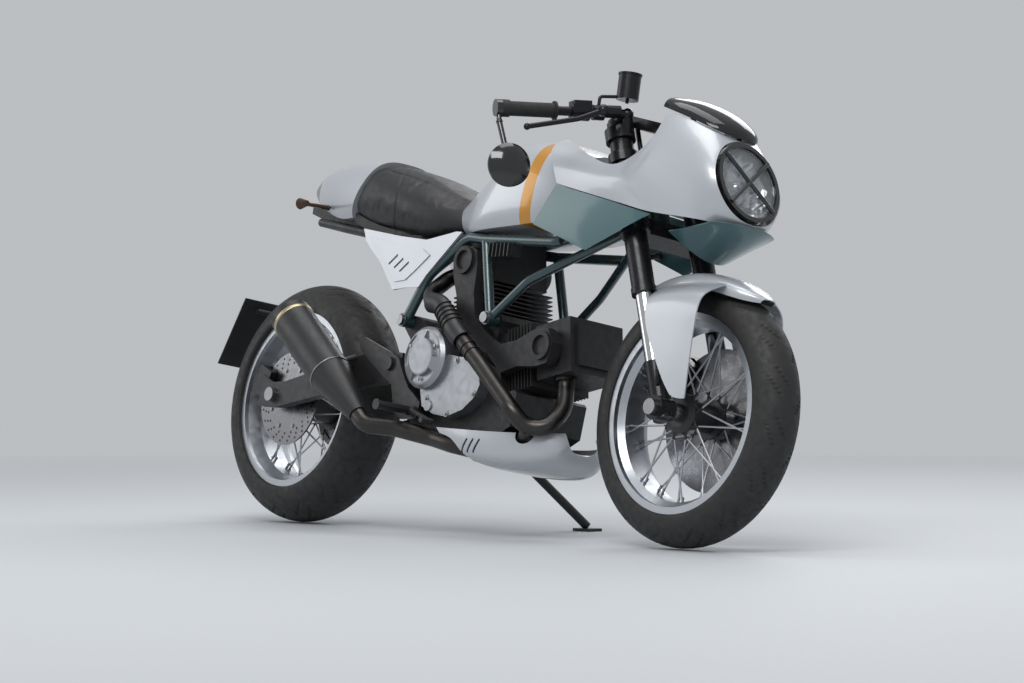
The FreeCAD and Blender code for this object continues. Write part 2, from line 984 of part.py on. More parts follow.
def make_frame():
    """Round tubes welded into a trellis between the head tube and the engine's two mounting rings."""
    head_low = on_steering(s.lower_clamp_reach + s.lower_clamp_height + s.bearing_gap)
    head_length = s.top_clamp_reach - s.lower_clamp_reach - s.lower_clamp_height - 2 * s.bearing_gap
    tubes = [rod("head_tube", head_low, steer_up, s.head_tube_radius, head_length)]
    low_head = on_steering(s.lower_clamp_reach + s.lower_clamp_height + s.head_joint_rise)
    radius = s.frame_tube_radius
    ring_length = 2 * radius + s.overrun
    for side, name in ((-1, "right"), (1, "left")):
        mount = trellis(side, "mount")
        tubes.append(tube(f"{name}_main_tube", main_tube_points(side), radius))
        tubes.append(bar(f"{name}_down_tube", trellis(side, "crown"), mount, s.down_tube_radius))
        tubes.append(tube(f"{name}_brace_tube", [mount, trellis(side, "brace"), low_head], s.brace_tube_radius))
        for joint in ("foot", "mount"):
            start = trellis(side, joint) + Vector(0, side * float(ring_length) / 2, 0)
            tubes.append(rod(f"{name}_{joint}_ring", start, Vector(0, -side, 0), s.mount_ring_radius, ring_length))
    solid = fuse("frame_tubes", *tubes)
    holes = [rod("stem_bore", on_steering(s.lower_clamp_reach), steer_up, s.stem_radius + s.running_fit,
                 s.top_clamp_reach - s.lower_clamp_reach)]
    for joint in ("foot", "mount"):
        right, left = (trellis(side, joint, ring_length) for side in (-1, 1))
        holes.append(bar(f"{joint}_ring_hole", right, left, s.mount_hole_radius))
    keep("frame", cut("frame_body", solid, *holes))


def rail_points(side):
    """The line of one seat rail, from the trellis to the tail."""
    return [
        on_side(side, s.rail_front_ahead, s.rail_half_width, s.rail_front_height),
        on_side(side, s.rail_middle_ahead, s.rail_half_width, s.rail_middle_height),
        on_side(side, s.rail_back_ahead, s.rail_back_half_width, s.rail_back_height),
    ]


def make_subframe():
    """Two black rails under the seat, joined by cross tubes and stayed to the trellis."""
    radius = s.brace_tube_radius
    right, left = rail_points(-1), rail_points(1)
    tubes = [tube("right_rail", right, radius), tube("left_rail", left, radius)]
    for index, name in ((1, "middle"), (2, "back")):
        tubes.append(bar(f"{name}_cross", right[index], left[index], radius))
    for side, name, rail in ((-1, "right", right), (1, "left", left)):
        stay_end = trellis(side, "knee")
        tubes.append(bar(f"{name}_rail_stay", rail[0], stay_end, radius))
        tubes.append(bar(f"{name}_low_stay", rail[1], stay_end, radius))
    keep("subframe", cut("subframe_body", fuse("subframe_tubes", *tubes), frame_shadow(s.seat_gap)))


def frame_shadow(gap):
    """The trellis's upper tubes grown by a gap, for what is clamped to them or passes over them."""
    tubes = [tube(f"shadow_{side + 1}", main_tube_points(side), s.frame_tube_radius + gap) for side in (-1, 1)]
    return fuse("trellis_shadow", *tubes)


make_frame()
make_subframe()


# Swingarm, chain and rear axle

def make_swingarm():
    arms = []
    outer = s.swing_half_width + s.swing_arm_width
    middle = float(s.swing_half_width) + float(s.swing_arm_width) / 2
    arm_shares = [(1.07, 0.75), (1.07, 1.75), (0.86, 1.88), (0.5, 1.28), (0.1, 0.58), (-0.1, 0.5),
                  (-0.13, -0.45), (0.05, -0.5), (0.5, 0.12), (0.88, 0.5)]
    outline = placed(arm_shares, 0, s.rear_tyre_radius, s.swing_pivot_ahead, s.swing_arm_height)
    for side, name in ((-1, "right"), (1, "left")):
        arms.append(side_plate(f"{name}_arm", [outline], side * middle, s.swing_arm_width))
    bridge_shares = [(1.0, 0.9), (1.0, 1.35), (0.73, 1.3), (0.73, 0.85)]
    bridge = placed(bridge_shares, 0, s.rear_tyre_radius, s.swing_pivot_ahead, s.swing_arm_height)
    arms.append(side_plate("arm_bridge", [bridge], 0, 2 * s.swing_half_width))
    arms.append(rod("pivot_tube", swing_pivot - Vector(0, float(outer), 0), Vector(0, 1, 0),
                    s.swing_pivot_radius, 2 * outer))
    solid = fuse("swingarm_whole", *arms)
    far = Vector(0, float(outer) + float(s.overrun), 0)
    holes = [
        rod("axle_hole", rear_axle - far, Vector(0, 1, 0), s.axle_radius + s.axle_fit, 2 * far.Length),
        rod("pivot_hole", swing_pivot - far, Vector(0, 1, 0), s.pivot_bolt_radius + s.axle_fit, 2 * far.Length),
    ]
    keep("swingarm", cut("swingarm_body", solid, *holes))


def make_axle(label, centre, half_length, hub_half, inner_half):
    """An axle with its two nuts and the spacers between the hub and what carries it."""
    reach = Vector(0, float(half_length) + float(s.axle_nut_length), 0)
    pieces = [rod(label + "_shaft", centre - reach, Vector(0, 1, 0), s.axle_radius, 2 * reach.Length)]
    for side, name in ((-1, "right"), (1, "left")):
        nut = centre + Vector(0, side * (float(half_length) + float(s.seat_gap)), 0)
        pieces.append(rod(f"{label}_{name}_nut", nut, Vector(0, side, 0), s.axle_nut_radius, s.axle_nut_length))
        start = centre + Vector(0, side * (float(hub_half) + float(s.seat_gap)), 0)
        length = inner_half - hub_half - 2 * s.seat_gap
        pieces.append(rod(f"{label}_{name}_spacer", start, Vector(0, side, 0), s.spacer_radius, length))
    keep(label, fuse(label + "_body", *pieces))


def loop_wire(first, second, first_radius, second_radius):
    """Two circles joined by their outer tangents, in the plane of the bike."""
    gap = second - first
    reach = gap.Length
    slope = math.atan2(gap.z, gap.x)
    swing = math.acos((first_radius - second_radius) / reach)

    def on(centre, radius, angle):
        return centre + Vector(radius * math.cos(angle), 0, radius * math.sin(angle))

    upper, lower = slope + swing, slope - swing
    a, b = on(first, first_radius, upper), on(second, second_radius, upper)
    c, d = on(second, second_radius, lower), on(first, first_radius, lower)
    edges = [
        Part.LineSegment(a, b).toShape(),
        Part.Arc(b, on(second, second_radius, slope), c).toShape(),
        Part.LineSegment(c, d).toShape(),
        Part.Arc(d, on(first, first_radius, slope + math.pi), a).toShape(),
    ]
    return Part.Wire(edges)


def chain_loop(name, grow, side, width):
    """The chain's closed outline, grown on each side, as a slab from side to side."""
    front = spot(s.front_sprocket_ahead, 0, s.front_sprocket_height)
    outline = loop_wire(rear_axle, front, float(s.rear_sprocket_radius + grow),
                        float(s.front_sprocket_radius + grow))
    face = Part.Face(outline)
    face.translate(Vector(0, float(side), 0))
    return shape(name, face.extrude(Vector(0, float(width), 0)))


def link_cuts(start, end, normal, width):
    """Waists between the chain's rollers, notched into one straight run from both of its edges."""
    run = end - start
    count = int(run.Length / float(s.chain_pitch))
    along = Vector(run).normalize()
    half = float(s.chain_height) / 2
    mouth = along * float(s.chain_waist_length + s.overrun)
    waists = []
    for index in range(count):
        middle = start + along * (float(s.chain_pitch) * (index + 1 / 2))
        for edge in (-normal, normal):
            open_side = middle + edge * (half + float(s.overrun))
            corners = [middle + edge * (half - float(s.chain_waist_depth)), open_side + mouth, open_side - mouth]
            notch = Part.Face(Part.makePolygon(corners + corners[:1]))
            waists.append(notch.extrude(Vector(0, float(width), 0)))
    return waists


def make_chain():
    """The drive chain as one loop, waisted between its rollers along both straight runs."""
    half = s.chain_height / 2
    side = s.sprocket_offset - s.chain_width / 2
    outer = chain_loop("chain_outer", half, side, s.chain_width)
    inner = chain_loop("chain_inner", -half, side - s.overrun, s.chain_width + 2 * s.overrun)
    band = outer.Shape.cut(inner.Shape)
    front = spot(s.front_sprocket_ahead, 0, s.front_sprocket_height)
    large, small = float(s.rear_sprocket_radius), float(s.front_sprocket_radius)
    gap = front - rear_axle
    slope = math.atan2(gap.z, gap.x)
    swing = math.acos((large - small) / gap.Length)
    waists = []
    for angle in (slope + swing, slope - swing):
        normal = Vector(math.cos(angle), 0, math.sin(angle))
        lift = Vector(0, float(side) - float(s.overrun), 0)
        waists += link_cuts(rear_axle + normal * large + lift, front + normal * small + lift, normal,
                            s.chain_width + 2 * s.overrun)
    keep("chain", shape("chain_links", band.cut(waists)))


def make_front_sprocket():
    """The front sprocket on the gearbox's output shaft."""
    foot = spot(s.front_sprocket_ahead, s.case_half_width - s.sprocket_pocket_depth + s.seat_gap,
                s.front_sprocket_height)
    tip = s.sprocket_offset + s.sprocket_thickness - s.case_half_width + s.sprocket_pocket_depth
    wheel = spot(s.front_sprocket_ahead, s.sprocket_offset - s.sprocket_thickness / 2, s.front_sprocket_height)
    keep("front_sprocket", fuse(
        "front_sprocket_body",
        rod("output_shaft", foot, Vector(0, 1, 0), s.axle_radius, tip),
        rod("front_sprocket_wheel", wheel, Vector(0, 1, 0),
            s.front_sprocket_radius - s.chain_height / 2 - s.chain_gap, s.sprocket_thickness),
    ))


make_swingarm()
make_axle("rear_axle", rear_axle, s.swing_half_width + s.swing_arm_width, s.rear_hub_width / 2,
          s.swing_half_width)
make_chain()
make_front_sprocket()


# Fork and steering

fender_arm_shares = [(0.45, 0.9), (1.0, 1.5), (1.75, 2.3)]


def make_fork():
    """Upside-down legs: wide outers in the clamps, chromed stanchions below them, and cast axle ends."""
    outers, chromes, bottoms = [], [], []
    for name, side in (("right", -1), ("left", 1)):
        y = side * float(s.fork_spacing) / 2
        outers.append(fuse(
            f"{name}_outer",
            rod(f"{name}_outer_tube", along_fork(s.fork_outer_start, y), steer_up, s.fork_outer_radius,
                s.fork_length - s.fork_outer_start),
            rod(f"{name}_cap", along_fork(s.fork_length, y), steer_up, s.fork_cap_radius, s.fork_cap_height),
            rod(f"{name}_collar", along_fork(s.fork_outer_start, y), steer_up,
                s.fork_outer_radius + s.fork_collar_rise, s.fork_collar_length),
        ))
        chromes.append(rod(f"{name}_chrome", along_fork(s.stanchion_start, y), steer_up, s.stanchion_radius,
                           s.fork_outer_start - s.stanchion_start - s.seat_gap))
        bottoms.append(make_fork_bottom(name, side, y))
    keep("fork_outers", *outers)
    keep("fork_stanchions", *chromes)
    keep("fork_bottoms", *bottoms)


def make_fork_bottom(name, side, y):
    """One cast axle end with the arm that carries the fender's leg, and the left one's caliper plate."""
    inner = side * (float(s.fork_spacing) - float(s.fork_bottom_width)) / 2
    reach = s.fork_bottom_width / 2 + s.fork_bottom_radius + s.panel_wall
    post = rod(f"{name}_bottom_post", along_fork(-s.fork_bottom_drop, y), steer_up, s.fork_bottom_radius,
               s.stanchion_start + s.fork_bottom_drop - s.seat_gap)
    boss = rod(f"{name}_bottom_boss", front_axle + Vector(0, inner, 0), Vector(0, side, 0),
               s.fork_bottom_radius + s.clamp_wall / 2, reach)
    arm_y = side * (float(s.fender_leg_side) - float(s.panel_wall) - float(s.seat_gap) - float(s.fender_arm_radius))
    stops = [along_fork(s.stanchion_start * share, arm_y, s.fork_bottom_radius * ahead_share)
             for share, ahead_share in fender_arm_shares]
    root = along_fork(s.stanchion_start * fender_arm_shares[0][0], y)
    arm = tube(f"{name}_fender_arm", [root] + stops, s.fender_arm_radius, s.fork_bottom_radius)
    whole = [post, boss, arm]
    if side > 0:
        whole.append(make_caliper_plate())
    bore = rod(f"{name}_axle_bore", front_axle + Vector(0, inner - side * float(s.overrun), 0), Vector(0, side, 0),
               s.axle_radius + s.axle_fit, reach + 2 * s.overrun)
    trim = block(f"{name}_bottom_trim", along_fork(0, inner - side * float(s.fork_bottom_width) / 2),
                 2 * s.fork_bottom_width, s.fork_bottom_width, 4 * s.stanchion_start,
                 Rotation(Vector(0, 1, 0), -float(s.rake)))
    joined = fuse(f"{name}_bottom_whole", *whole)
    joined.Refine = False
    return cut(f"{name}_bottom", joined, bore, trim)


def caliper_middle():
    angle = math.radians(float(s.caliper_angle))
    radius = float(s.front_disc_radius) - float(s.caliper_depth) / 2
    return front_axle + Vector(radius * math.cos(angle), float(s.front_disc_offset), radius * math.sin(angle))


def make_caliper_plate():
    """The lugs behind the left leg, just outboard of the caliper that they carry."""
    middle = caliper_middle()
    half = float(s.caliper_length) / 2
    low, high = along_fork(0), along_fork(s.stanchion_start / 2)
    corners = [low, high, middle + Vector(0, 0, half / 3), middle - Vector(0, 0, half / 2)]
    y = float(s.front_disc_offset) + float(s.caliper_width) / 2 + float(s.seat_gap) + float(s.caliper_plate) / 2
    return side_plate("caliper_plate", [[(p.x, p.z) for p in corners]], y, s.caliper_plate)


def make_clamps():
    pieces = []
    bores = []
    for label, reach, height in (("lower", s.lower_clamp_reach, s.lower_clamp_height),
                                 ("top", s.top_clamp_reach, s.top_clamp_height)):
        for side in (-1, 1):
            y = side * float(s.fork_spacing) / 2
            pieces.append(rod(f"{label}_eye_{side + 1}", along_fork(reach, y), steer_up,
                              s.fork_outer_radius + s.clamp_wall, height))
            bores.append(rod(f"{label}_eye_bore_{side + 1}", along_fork(float(reach) - float(s.overrun), y),
                             steer_up, s.fork_outer_radius + s.seat_gap, height + 2 * s.overrun))
        middle = on_steering(float(reach) + float(height) / 2, 0, fork_offset / 2)
        turn = Rotation(Vector(0, 1, 0), -float(s.rake))
        pieces.append(block(f"{label}_bridge", middle, s.bridge_depth, s.fork_spacing, height, turn))
    pieces.append(rod("stem", on_steering(s.lower_clamp_reach), steer_up, s.stem_radius,
                      s.top_clamp_reach + s.top_clamp_height + s.stem_nut_height - s.lower_clamp_reach))
    pieces.append(rod("stem_nut", on_steering(s.top_clamp_reach + s.top_clamp_height), steer_up,
                      s.stem_nut_radius, s.stem_nut_height))
    keep("triple_clamps", cut("clamps_body", fuse("clamps_whole", *pieces), *bores))


def bar_place(side, along):
    """A point on one clip-on bar, measured out from its inner end."""
    start = along_fork(s.bar_ring_reach + s.bar_rise, side * float(s.bar_inner_side), s.bar_ahead)
    out = Vector(-math.sin(math.radians(float(s.bar_sweep))), 0, -math.sin(math.radians(float(s.bar_drop))))
    out.y = side * math.sqrt(1 - out.x * out.x - out.z * out.z)
    return start + out * float(along), out


def make_bars():
    """Clip-on bars: a ring on each fork leg, a riser and the bar."""
    bars, grips, switches, levers, mirrors = [], [], [], [], []
    for name, side in (("right", -1), ("left", 1)):
        y = side * float(s.fork_spacing) / 2
        start, out = bar_place(side, 0)
        whole = fuse(
            f"{name}_bar_whole",
            rod(f"{name}_bar_ring", along_fork(s.bar_ring_reach, y), steer_up,
                s.fork_outer_radius + s.clamp_wall, s.bar_ring_height),
            rod(f"{name}_bar_tube", start, out, s.bar_radius, s.bar_length),
            bar(f"{name}_bar_riser", along_fork(s.bar_ring_reach + s.bar_ring_height / 2, y, s.fork_outer_radius),
                start, s.riser_radius),
            ball(f"{name}_bar_knuckle", start, s.knuckle_radius),
        )
        ring_bore = rod(f"{name}_bar_ring_bore", along_fork(s.bar_ring_reach - s.overrun, y), steer_up,
                        s.fork_outer_radius + s.seat_gap,
                        s.fork_length + s.fork_cap_height + 2 * s.overrun - s.bar_ring_reach)
        bars.append(cut(f"{name}_bar", whole, ring_bore))
        grips += make_grip(name, side, out)
        switches.append(make_switch(name, side, out))
        levers.append(make_lever(name, side, out))
        mirrors.append(make_mirror(name, side, out))
    keep("handlebars", *bars)
    keep("grips", *grips)
    keep("controls", make_reservoir(), *switches, *levers)
    keep("mirrors", *mirrors)


def make_grip(name, side, out):
    """A rubber grip with a flange at its inner end, and the weight in the bar's end."""
    bore = s.bar_radius + s.seat_gap
    start = bar_place(side, s.bar_length - s.grip_length - s.seat_gap)[0]
    grip = fuse(f"{name}_grip_whole",
                sleeve(f"{name}_grip_tube", start, out, s.grip_radius, bore, s.grip_length),
                sleeve(f"{name}_grip_flange", start, out, s.grip_radius + s.grip_flange, bore, s.grip_flange))
    weight = bar_place(side, s.bar_length + s.seat_gap)[0]
    return [grip, rod(f"{name}_bar_weight", weight, out, s.bar_end_radius, s.bar_end_length)]


def make_switch(name, side, out):
    """A switch housing clamped round the bar, with its button block on top."""
    start = bar_place(side, s.switch_place)[0]
    middle = start + out * (float(s.switch_length) / 2)
    turn = Rotation(Vector(0, 1, 0), out * side)
    top = block(f"{name}_switch_top", middle + Vector(0, 0, float(s.switch_radius) * 2 / 3), 2 * s.switch_radius,
                s.switch_length, s.switch_radius, turn)
    round_part = rod(f"{name}_switch_round", start, out, s.switch_radius, s.switch_length)
    bore = rod(f"{name}_switch_bore", start - out * float(s.overrun), out, s.bar_radius + s.seat_gap,
               s.switch_length + 2 * s.overrun)
    return cut(f"{name}_switch", fuse(f"{name}_switch_whole", top, round_part), bore)


def make_lever(name, side, out):
    """A perch on the bar with its cylinder, and a lever that runs out under and in front of the grip."""
    perch_start = bar_place(side, s.perch_place)[0]
    ahead = (Vector(0, 0, 1).cross(out) * -side).normalize()
    middle = perch_start + out * (float(s.perch_length) / 2)
    elbow = middle + ahead * float(s.lever_reach)
    bend = elbow + out * (float(s.lever_length) / 3) - Vector(0, 0, float(s.lever_sag) / 2)
    tip = elbow + out * float(s.lever_length) - Vector(0, 0, float(s.lever_sag))
    cylinder_end = elbow - out * float(s.master_length)
    whole = fuse(
        f"{name}_lever_whole",
        rod(f"{name}_perch_ring", perch_start, out, s.perch_radius, s.perch_length),
        bar(f"{name}_perch_arm", middle, elbow, s.riser_radius),
        bar(f"{name}_master", elbow, cylinder_end, s.master_radius),
        ball(f"{name}_lever_elbow", elbow, s.knuckle_radius),
        tube(f"{name}_lever", [elbow, bend, tip], s.lever_width / 2, s.tube_bend),
        ball(f"{name}_lever_tip", tip, s.lever_tip_radius),
    )
    bore = rod(f"{name}_perch_bore", perch_start - out * float(s.overrun), out, s.bar_radius + s.seat_gap,
               s.perch_length + 2 * s.overrun)
    return cut(f"{name}_lever_set", whole, bore)


def make_mirror(name, side, out):
    """A round mirror with a domed back, on a flat strap from a collar at the bar's end."""
    collar = bar_place(side, s.bar_length + s.bar_end_length + 2 * s.seat_gap)[0]
    ahead, drop = (s.mirror_ahead, s.mirror_drop) if side < 0 else (s.left_mirror_ahead, s.left_mirror_drop)
    centre = collar + Vector(float(ahead), side * float(s.mirror_side), -float(drop))
    turn = math.radians(float(s.mirror_turn))
    back = Vector(math.cos(turn), side * math.sin(turn), 0)
    dome_radius = (s.mirror_radius * s.mirror_radius + s.mirror_depth * s.mirror_depth) / (2 * s.mirror_depth)
    dome = doc.addObject("Part::Sphere", f"{name}_mirror_dome")
    put(dome, Radius=dome_radius)
    dome.Placement = Placement(centre - back * (float(dome_radius) - float(s.mirror_depth)), Rotation())
    rim = rod(f"{name}_mirror_room", centre, back, s.mirror_radius, s.mirror_depth + s.overrun)
    cap = doc.addObject("Part::Common", f"{name}_mirror_cap")
    cap.Base = dome
    cap.Tool = rim
    band = rod(f"{name}_mirror_band", centre, -back, s.mirror_radius, s.mirror_band)
    middle = collar + out * float(s.mirror_arm_radius)
    away = centre - middle
    away = (away - out * away.dot(out)).normalize()
    knee = middle + away * float(s.bar_end_radius + 2 * s.mirror_arm_radius)
    elbow = ball(f"{name}_mirror_elbow", knee, s.mirror_arm_radius + s.panel_wall / 3)
    strap = bar(f"{name}_mirror_arm", knee, centre, s.mirror_arm_radius)
    root = bar(f"{name}_mirror_root", middle, knee, s.mirror_arm_radius - s.panel_wall / 3)
    hub = rod(f"{name}_mirror_collar", collar, out, s.bar_end_radius, 2 * s.mirror_arm_radius)
    whole = fuse(f"{name}_mirror", band, cap, strap, elbow, root, hub)
    whole.Refine = False
    return whole


def make_reservoir():
    """The front brake's reservoir on a bent strap that stands on the right bar's perch."""
    perch, out = bar_place(-1, s.perch_place + s.perch_length / 2)
    arm = s.clamp_wall / 2
    foot = perch + Vector(0, 0, float(s.perch_radius + s.seat_gap))
    pot = perch + Vector(float(s.reservoir_ahead), float(s.reservoir_side), float(s.reservoir_rise))
    top = pot + Vector(0, 0, float(s.reservoir_height))
    knee = foot + Vector(0, 0, float(s.reservoir_rise) / 2)
    return fuse(
        "reservoir_whole",
        rod("reservoir_pot", pot, Vector(0, 0, 1), s.reservoir_radius, s.reservoir_height),
        rod("reservoir_lid", top, Vector(0, 0, 1), s.reservoir_radius + arm / 2, arm),
        rod("reservoir_nozzle", pot - Vector(0, 0, float(s.clamp_wall)), Vector(0, 0, 1), arm, s.clamp_wall),
        tube("reservoir_arm", [foot, knee, pot + Vector(0, 0, float(s.clamp_wall))], arm, s.clamp_wall),
    )


fender_arch_shares = [(0.0, 0.3), (0.06, 0.62), (0.18, 0.86), (0.34, 1.0), (0.52, 1.0), (0.7, 1.0), (0.86, 1.0),
                      (1.0, 0.96)]
fender_shoulder_share = 0.72
fender_leg_shares = [
    [(-0.4, 0.49, 0.915), (-0.12, 0.49, 0.95), (0.2, 0.49, 0.955), (0.52, 0.48, 0.925)],
    [(-0.3, 0.8, 0.85), (-0.1, 0.84, 0.89), (0.2, 0.84, 0.895), (0.5, 0.8, 0.86)],
    [(-0.3, 0.985, 0.8), (-0.08, 0.995, 0.82), (0.2, 0.995, 0.82), (0.48, 0.985, 0.8)],
    [(-0.26, 1.0, 0.6), (0.0, 1.0, 0.6), (0.22, 1.0, 0.6), (0.47, 1.0, 0.58)],
    [(-0.05, 1.0, 0.37), (0.12, 1.0, 0.37), (0.3, 1.0, 0.36), (0.46, 1.0, 0.33)],
    [(0.11, 0.99, 0.18), (0.24, 0.99, 0.17), (0.34, 0.99, 0.16), (0.455, 0.99, 0.15)],
    [(0.23, 0.98, 0.09), (0.3, 0.98, 0.066), (0.37, 0.98, 0.058), (0.445, 0.98, 0.065)],
]


def fender_point(along_share, side_share, up_share):
    """A point of the fender by shares of its length, half width and height over the axle."""
    return front_axle + Vector(
        float(s.fender_length) * along_share,
        -float(s.fender_leg_side) * side_share,
        float(s.fender_rise) * up_share,
    )


def make_front_fender():
    """A short fender over the tyre, whose sides flare out and run down ahead of the fork as two legs."""
    inner = float(s.front_tyre_radius) + float(s.fender_gap)
    outer = inner + float(s.panel_wall)
    first, last = math.radians(float(s.fender_start)), math.radians(float(s.fender_end))

    def ring_point(drop, angle, y):
        radius = outer - drop
        return front_axle + Vector(radius * math.cos(angle), y, radius * math.sin(angle))

    rows = []
    for share, width_share in fender_arch_shares:
        angle = first + (last - first) * share
        half = float(s.fender_half_width) * width_share
        drop = float(s.fender_side) * width_share
        rows.append(whole_row([
            ring_point(drop, angle, -half),
            ring_point(drop / 3, angle, -half),
            ring_point(0, angle, -half * fender_shoulder_share),
            ring_point(-float(s.panel_wall), angle, 0),
        ]))
    pieces = [shape("fender_arch", shell_panel(rows, -float(s.panel_wall)))]
    leg = [[fender_point(*share) for share in row] for row in fender_leg_shares]
    for name, net in (("right", leg), ("left", other_side(leg))):
        pieces.append(shape(f"{name}_fender_leg", shell_panel(net, s.panel_wall)))
    keep("front_fender", fuse("fender_whole", *pieces))


def make_front_caliper():
    """A four-piston caliper that straddles the disc behind the left fork leg."""
    turn = Rotation(Vector(0, 1, 0), -float(s.caliper_angle))
    middle = caliper_middle()
    body = block("caliper_block", middle + turn.multVec(Vector(float(s.caliper_depth) / 3, 0, 0)),
                 4 * s.caliper_depth / 3, s.caliper_width, s.caliper_length, turn)
    inward = turn.multVec(Vector(float(s.caliper_depth / 2 - s.clamp_wall), 0, 0))
    slot = block("caliper_slot", middle - inward, 2 * s.caliper_depth, s.caliper_slot, 2 * s.caliper_length, turn)
    pistons = []
    for side in (-1, 1):
        for end in (-1, 1):
            place = middle + turn.multVec(Vector(0, side * float(s.caliper_width) / 2,
                                                 end * float(s.caliper_length) / 4))
            pistons.append(rod(f"caliper_piston_{side + 1}_{end + 1}", place, Vector(0, -side, 0),
                               s.caliper_piston_radius, s.caliper_width / 3))
    chamfered = block("caliper_waist", middle + turn.multVec(Vector(float(s.caliper_depth), 0, 0)),
                      s.caliper_depth, 2 * s.caliper_width, s.caliper_length / 3, turn)
    keep("front_caliper", cut("front_caliper_body", fuse("caliper_whole", body, *pistons), slot, chamfered))


def make_rear_caliper():
    """The rear caliper on its carrier, which hangs on the axle's right spacer inside the swingarm."""
    angle = math.radians(float(s.rear_caliper_angle))
    radius = float(s.rear_disc_radius) - float(s.rear_caliper_depth) / 2
    out = Vector(math.cos(angle), 0, math.sin(angle))
    middle = rear_axle + out * radius - Vector(0, float(s.rear_disc_offset), 0)
    turn = Rotation(Vector(0, 1, 0), -float(s.rear_caliper_angle))
    body = block("rear_caliper_block", middle, 2 * s.rear_caliper_depth, s.rear_caliper_width,
                 s.rear_caliper_length, turn)
    inward = turn.multVec(Vector(float(s.rear_caliper_depth - s.pan_gap), 0, 0))
    slot = block("rear_caliper_slot", middle - inward,
                 3 * s.rear_caliper_depth, s.caliper_slot, 2 * s.rear_caliper_length, turn)
    outer = s.swing_half_width - s.seat_gap
    start = rear_axle - Vector(0, float(outer), 0)
    ring = rod("carrier_ring", start, Vector(0, 1, 0), s.spacer_radius + s.clamp_wall, s.caliper_plate)
    arm = block("carrier_arm", rear_axle + out * (radius / 2) - Vector(0, float(outer - s.caliper_plate / 2), 0),
                radius, s.caliper_plate, s.rear_caliper_length / 2, turn)
    bore = rod("carrier_bore", start - Vector(0, float(s.overrun), 0), Vector(0, 1, 0),
               s.spacer_radius + s.seat_gap, s.caliper_plate + 2 * s.overrun)
    keep("rear_caliper", cut("rear_caliper_body", fuse("rear_caliper_whole", body, ring, arm), bore, slot))


make_fork()
make_clamps()
make_axle("front_axle", front_axle, s.fork_spacing / 2 + s.fork_bottom_radius + s.panel_wall,
          s.front_hub_width / 2, s.fork_spacing / 2 - s.fork_bottom_width / 2)
make_bars()
make_front_fender()
make_front_caliper()
make_rear_caliper()


# Engine

def cylinder_frame(which):
    """Direction of a cylinder, the direction across its fins, and its angle: front lies, rear stands."""
    angle = math.radians(float(s.cylinder_tilt)) + (0 if which == "front" else math.pi / 2)
    return (Vector(math.cos(angle), 0, math.sin(angle)), Vector(-math.sin(angle), 0, math.cos(angle)),
            math.degrees(angle))


def cylinder_spot(which, along_share, across_share):
    """A point by shares of the cylinder's reach, from the crank to the cam line, along and across it."""
    direction, across, _ = cylinder_frame(which)
    reach = float(s.barrel_start) + float(s.barrel_length) + float(s.head_length) / 2
    return crank + direction * (reach * along_share) + across * (reach * across_share)


case_shares = [(0.0, 0.7), (0.05, 0.92), (0.2, 1.0), (0.44, 0.86), (0.84, 0.62), (0.95, 0.46), (0.93, 0.17),
               (0.76, 0.03), (0.2, 0.0), (0.06, 0.14), (0.0, 0.42)]
rear_lug_shares = [(-0.03, 0.72), (0.06, 0.88), (0.08, 1.0), (0.0, 1.12), (-0.08, 1.16), (-0.15, 1.14),
                   (-0.155, 1.05), (-0.09, 0.95)]
front_lug_shares = [(0.15, 0.3), (0.3, 0.15), (0.37, 0.32), (0.4, 0.37), (0.39, 0.42), (0.35, 0.445),
                    (0.3, 0.42)]


def make_crankcase():
    """The crankcase with its cylinder mouths, its two frame lugs and the pocket for the front sprocket."""
    outline = placed(case_shares, s.case_ahead, s.case_base, s.case_length, s.case_height)
    pieces = [side_plate("case_block", [outline], 0, 2 * s.case_half_width)]
    rooms = []
    for which in ("front", "rear"):
        direction, _, angle = cylinder_frame(which)
        turn = Rotation(Vector(0, 1, 0), -angle)
        pieces.append(block(f"{which}_mouth", crank + direction * (float(s.barrel_start) / 2), s.barrel_start,
                            2 * s.head_half_width, 2 * s.fin_half_depth - s.fin_pitch, turn))
        room = s.barrel_length + s.head_length
        rooms.append(block(f"{which}_room", crank + direction * (float(s.barrel_start) + float(room) / 2), room,
                           2 * (s.case_half_width + s.overrun), 2 * (s.fin_half_depth + s.pan_gap), turn))
    lug_width = 2 * (s.frame_half_width - s.frame_tube_radius - s.overrun)
    rear = placed(rear_lug_shares, s.case_ahead, s.case_base, s.case_length, s.case_height)
    pieces.append(side_plate("rear_lug", [rear], 0, lug_width))
    front = [cylinder_spot("front", *share) for share in front_lug_shares]
    pieces.append(side_plate("front_lug", [[(p.x, p.z) for p in front]], 0, lug_width))
    pocket = chain_loop("sprocket_pocket", s.chain_height / 2 + s.pan_gap,
                        s.case_half_width - s.sprocket_pocket_depth, s.sprocket_pocket_depth + s.overrun)
    holes = [bar(f"{joint}_lug_hole", trellis(-1, joint), trellis(1, joint), s.mount_hole_radius)
             for joint in ("foot", "mount")]
    keep("crankcase", cut("crankcase_body", fuse("crankcase_whole", *pieces), *rooms, pocket, *holes))


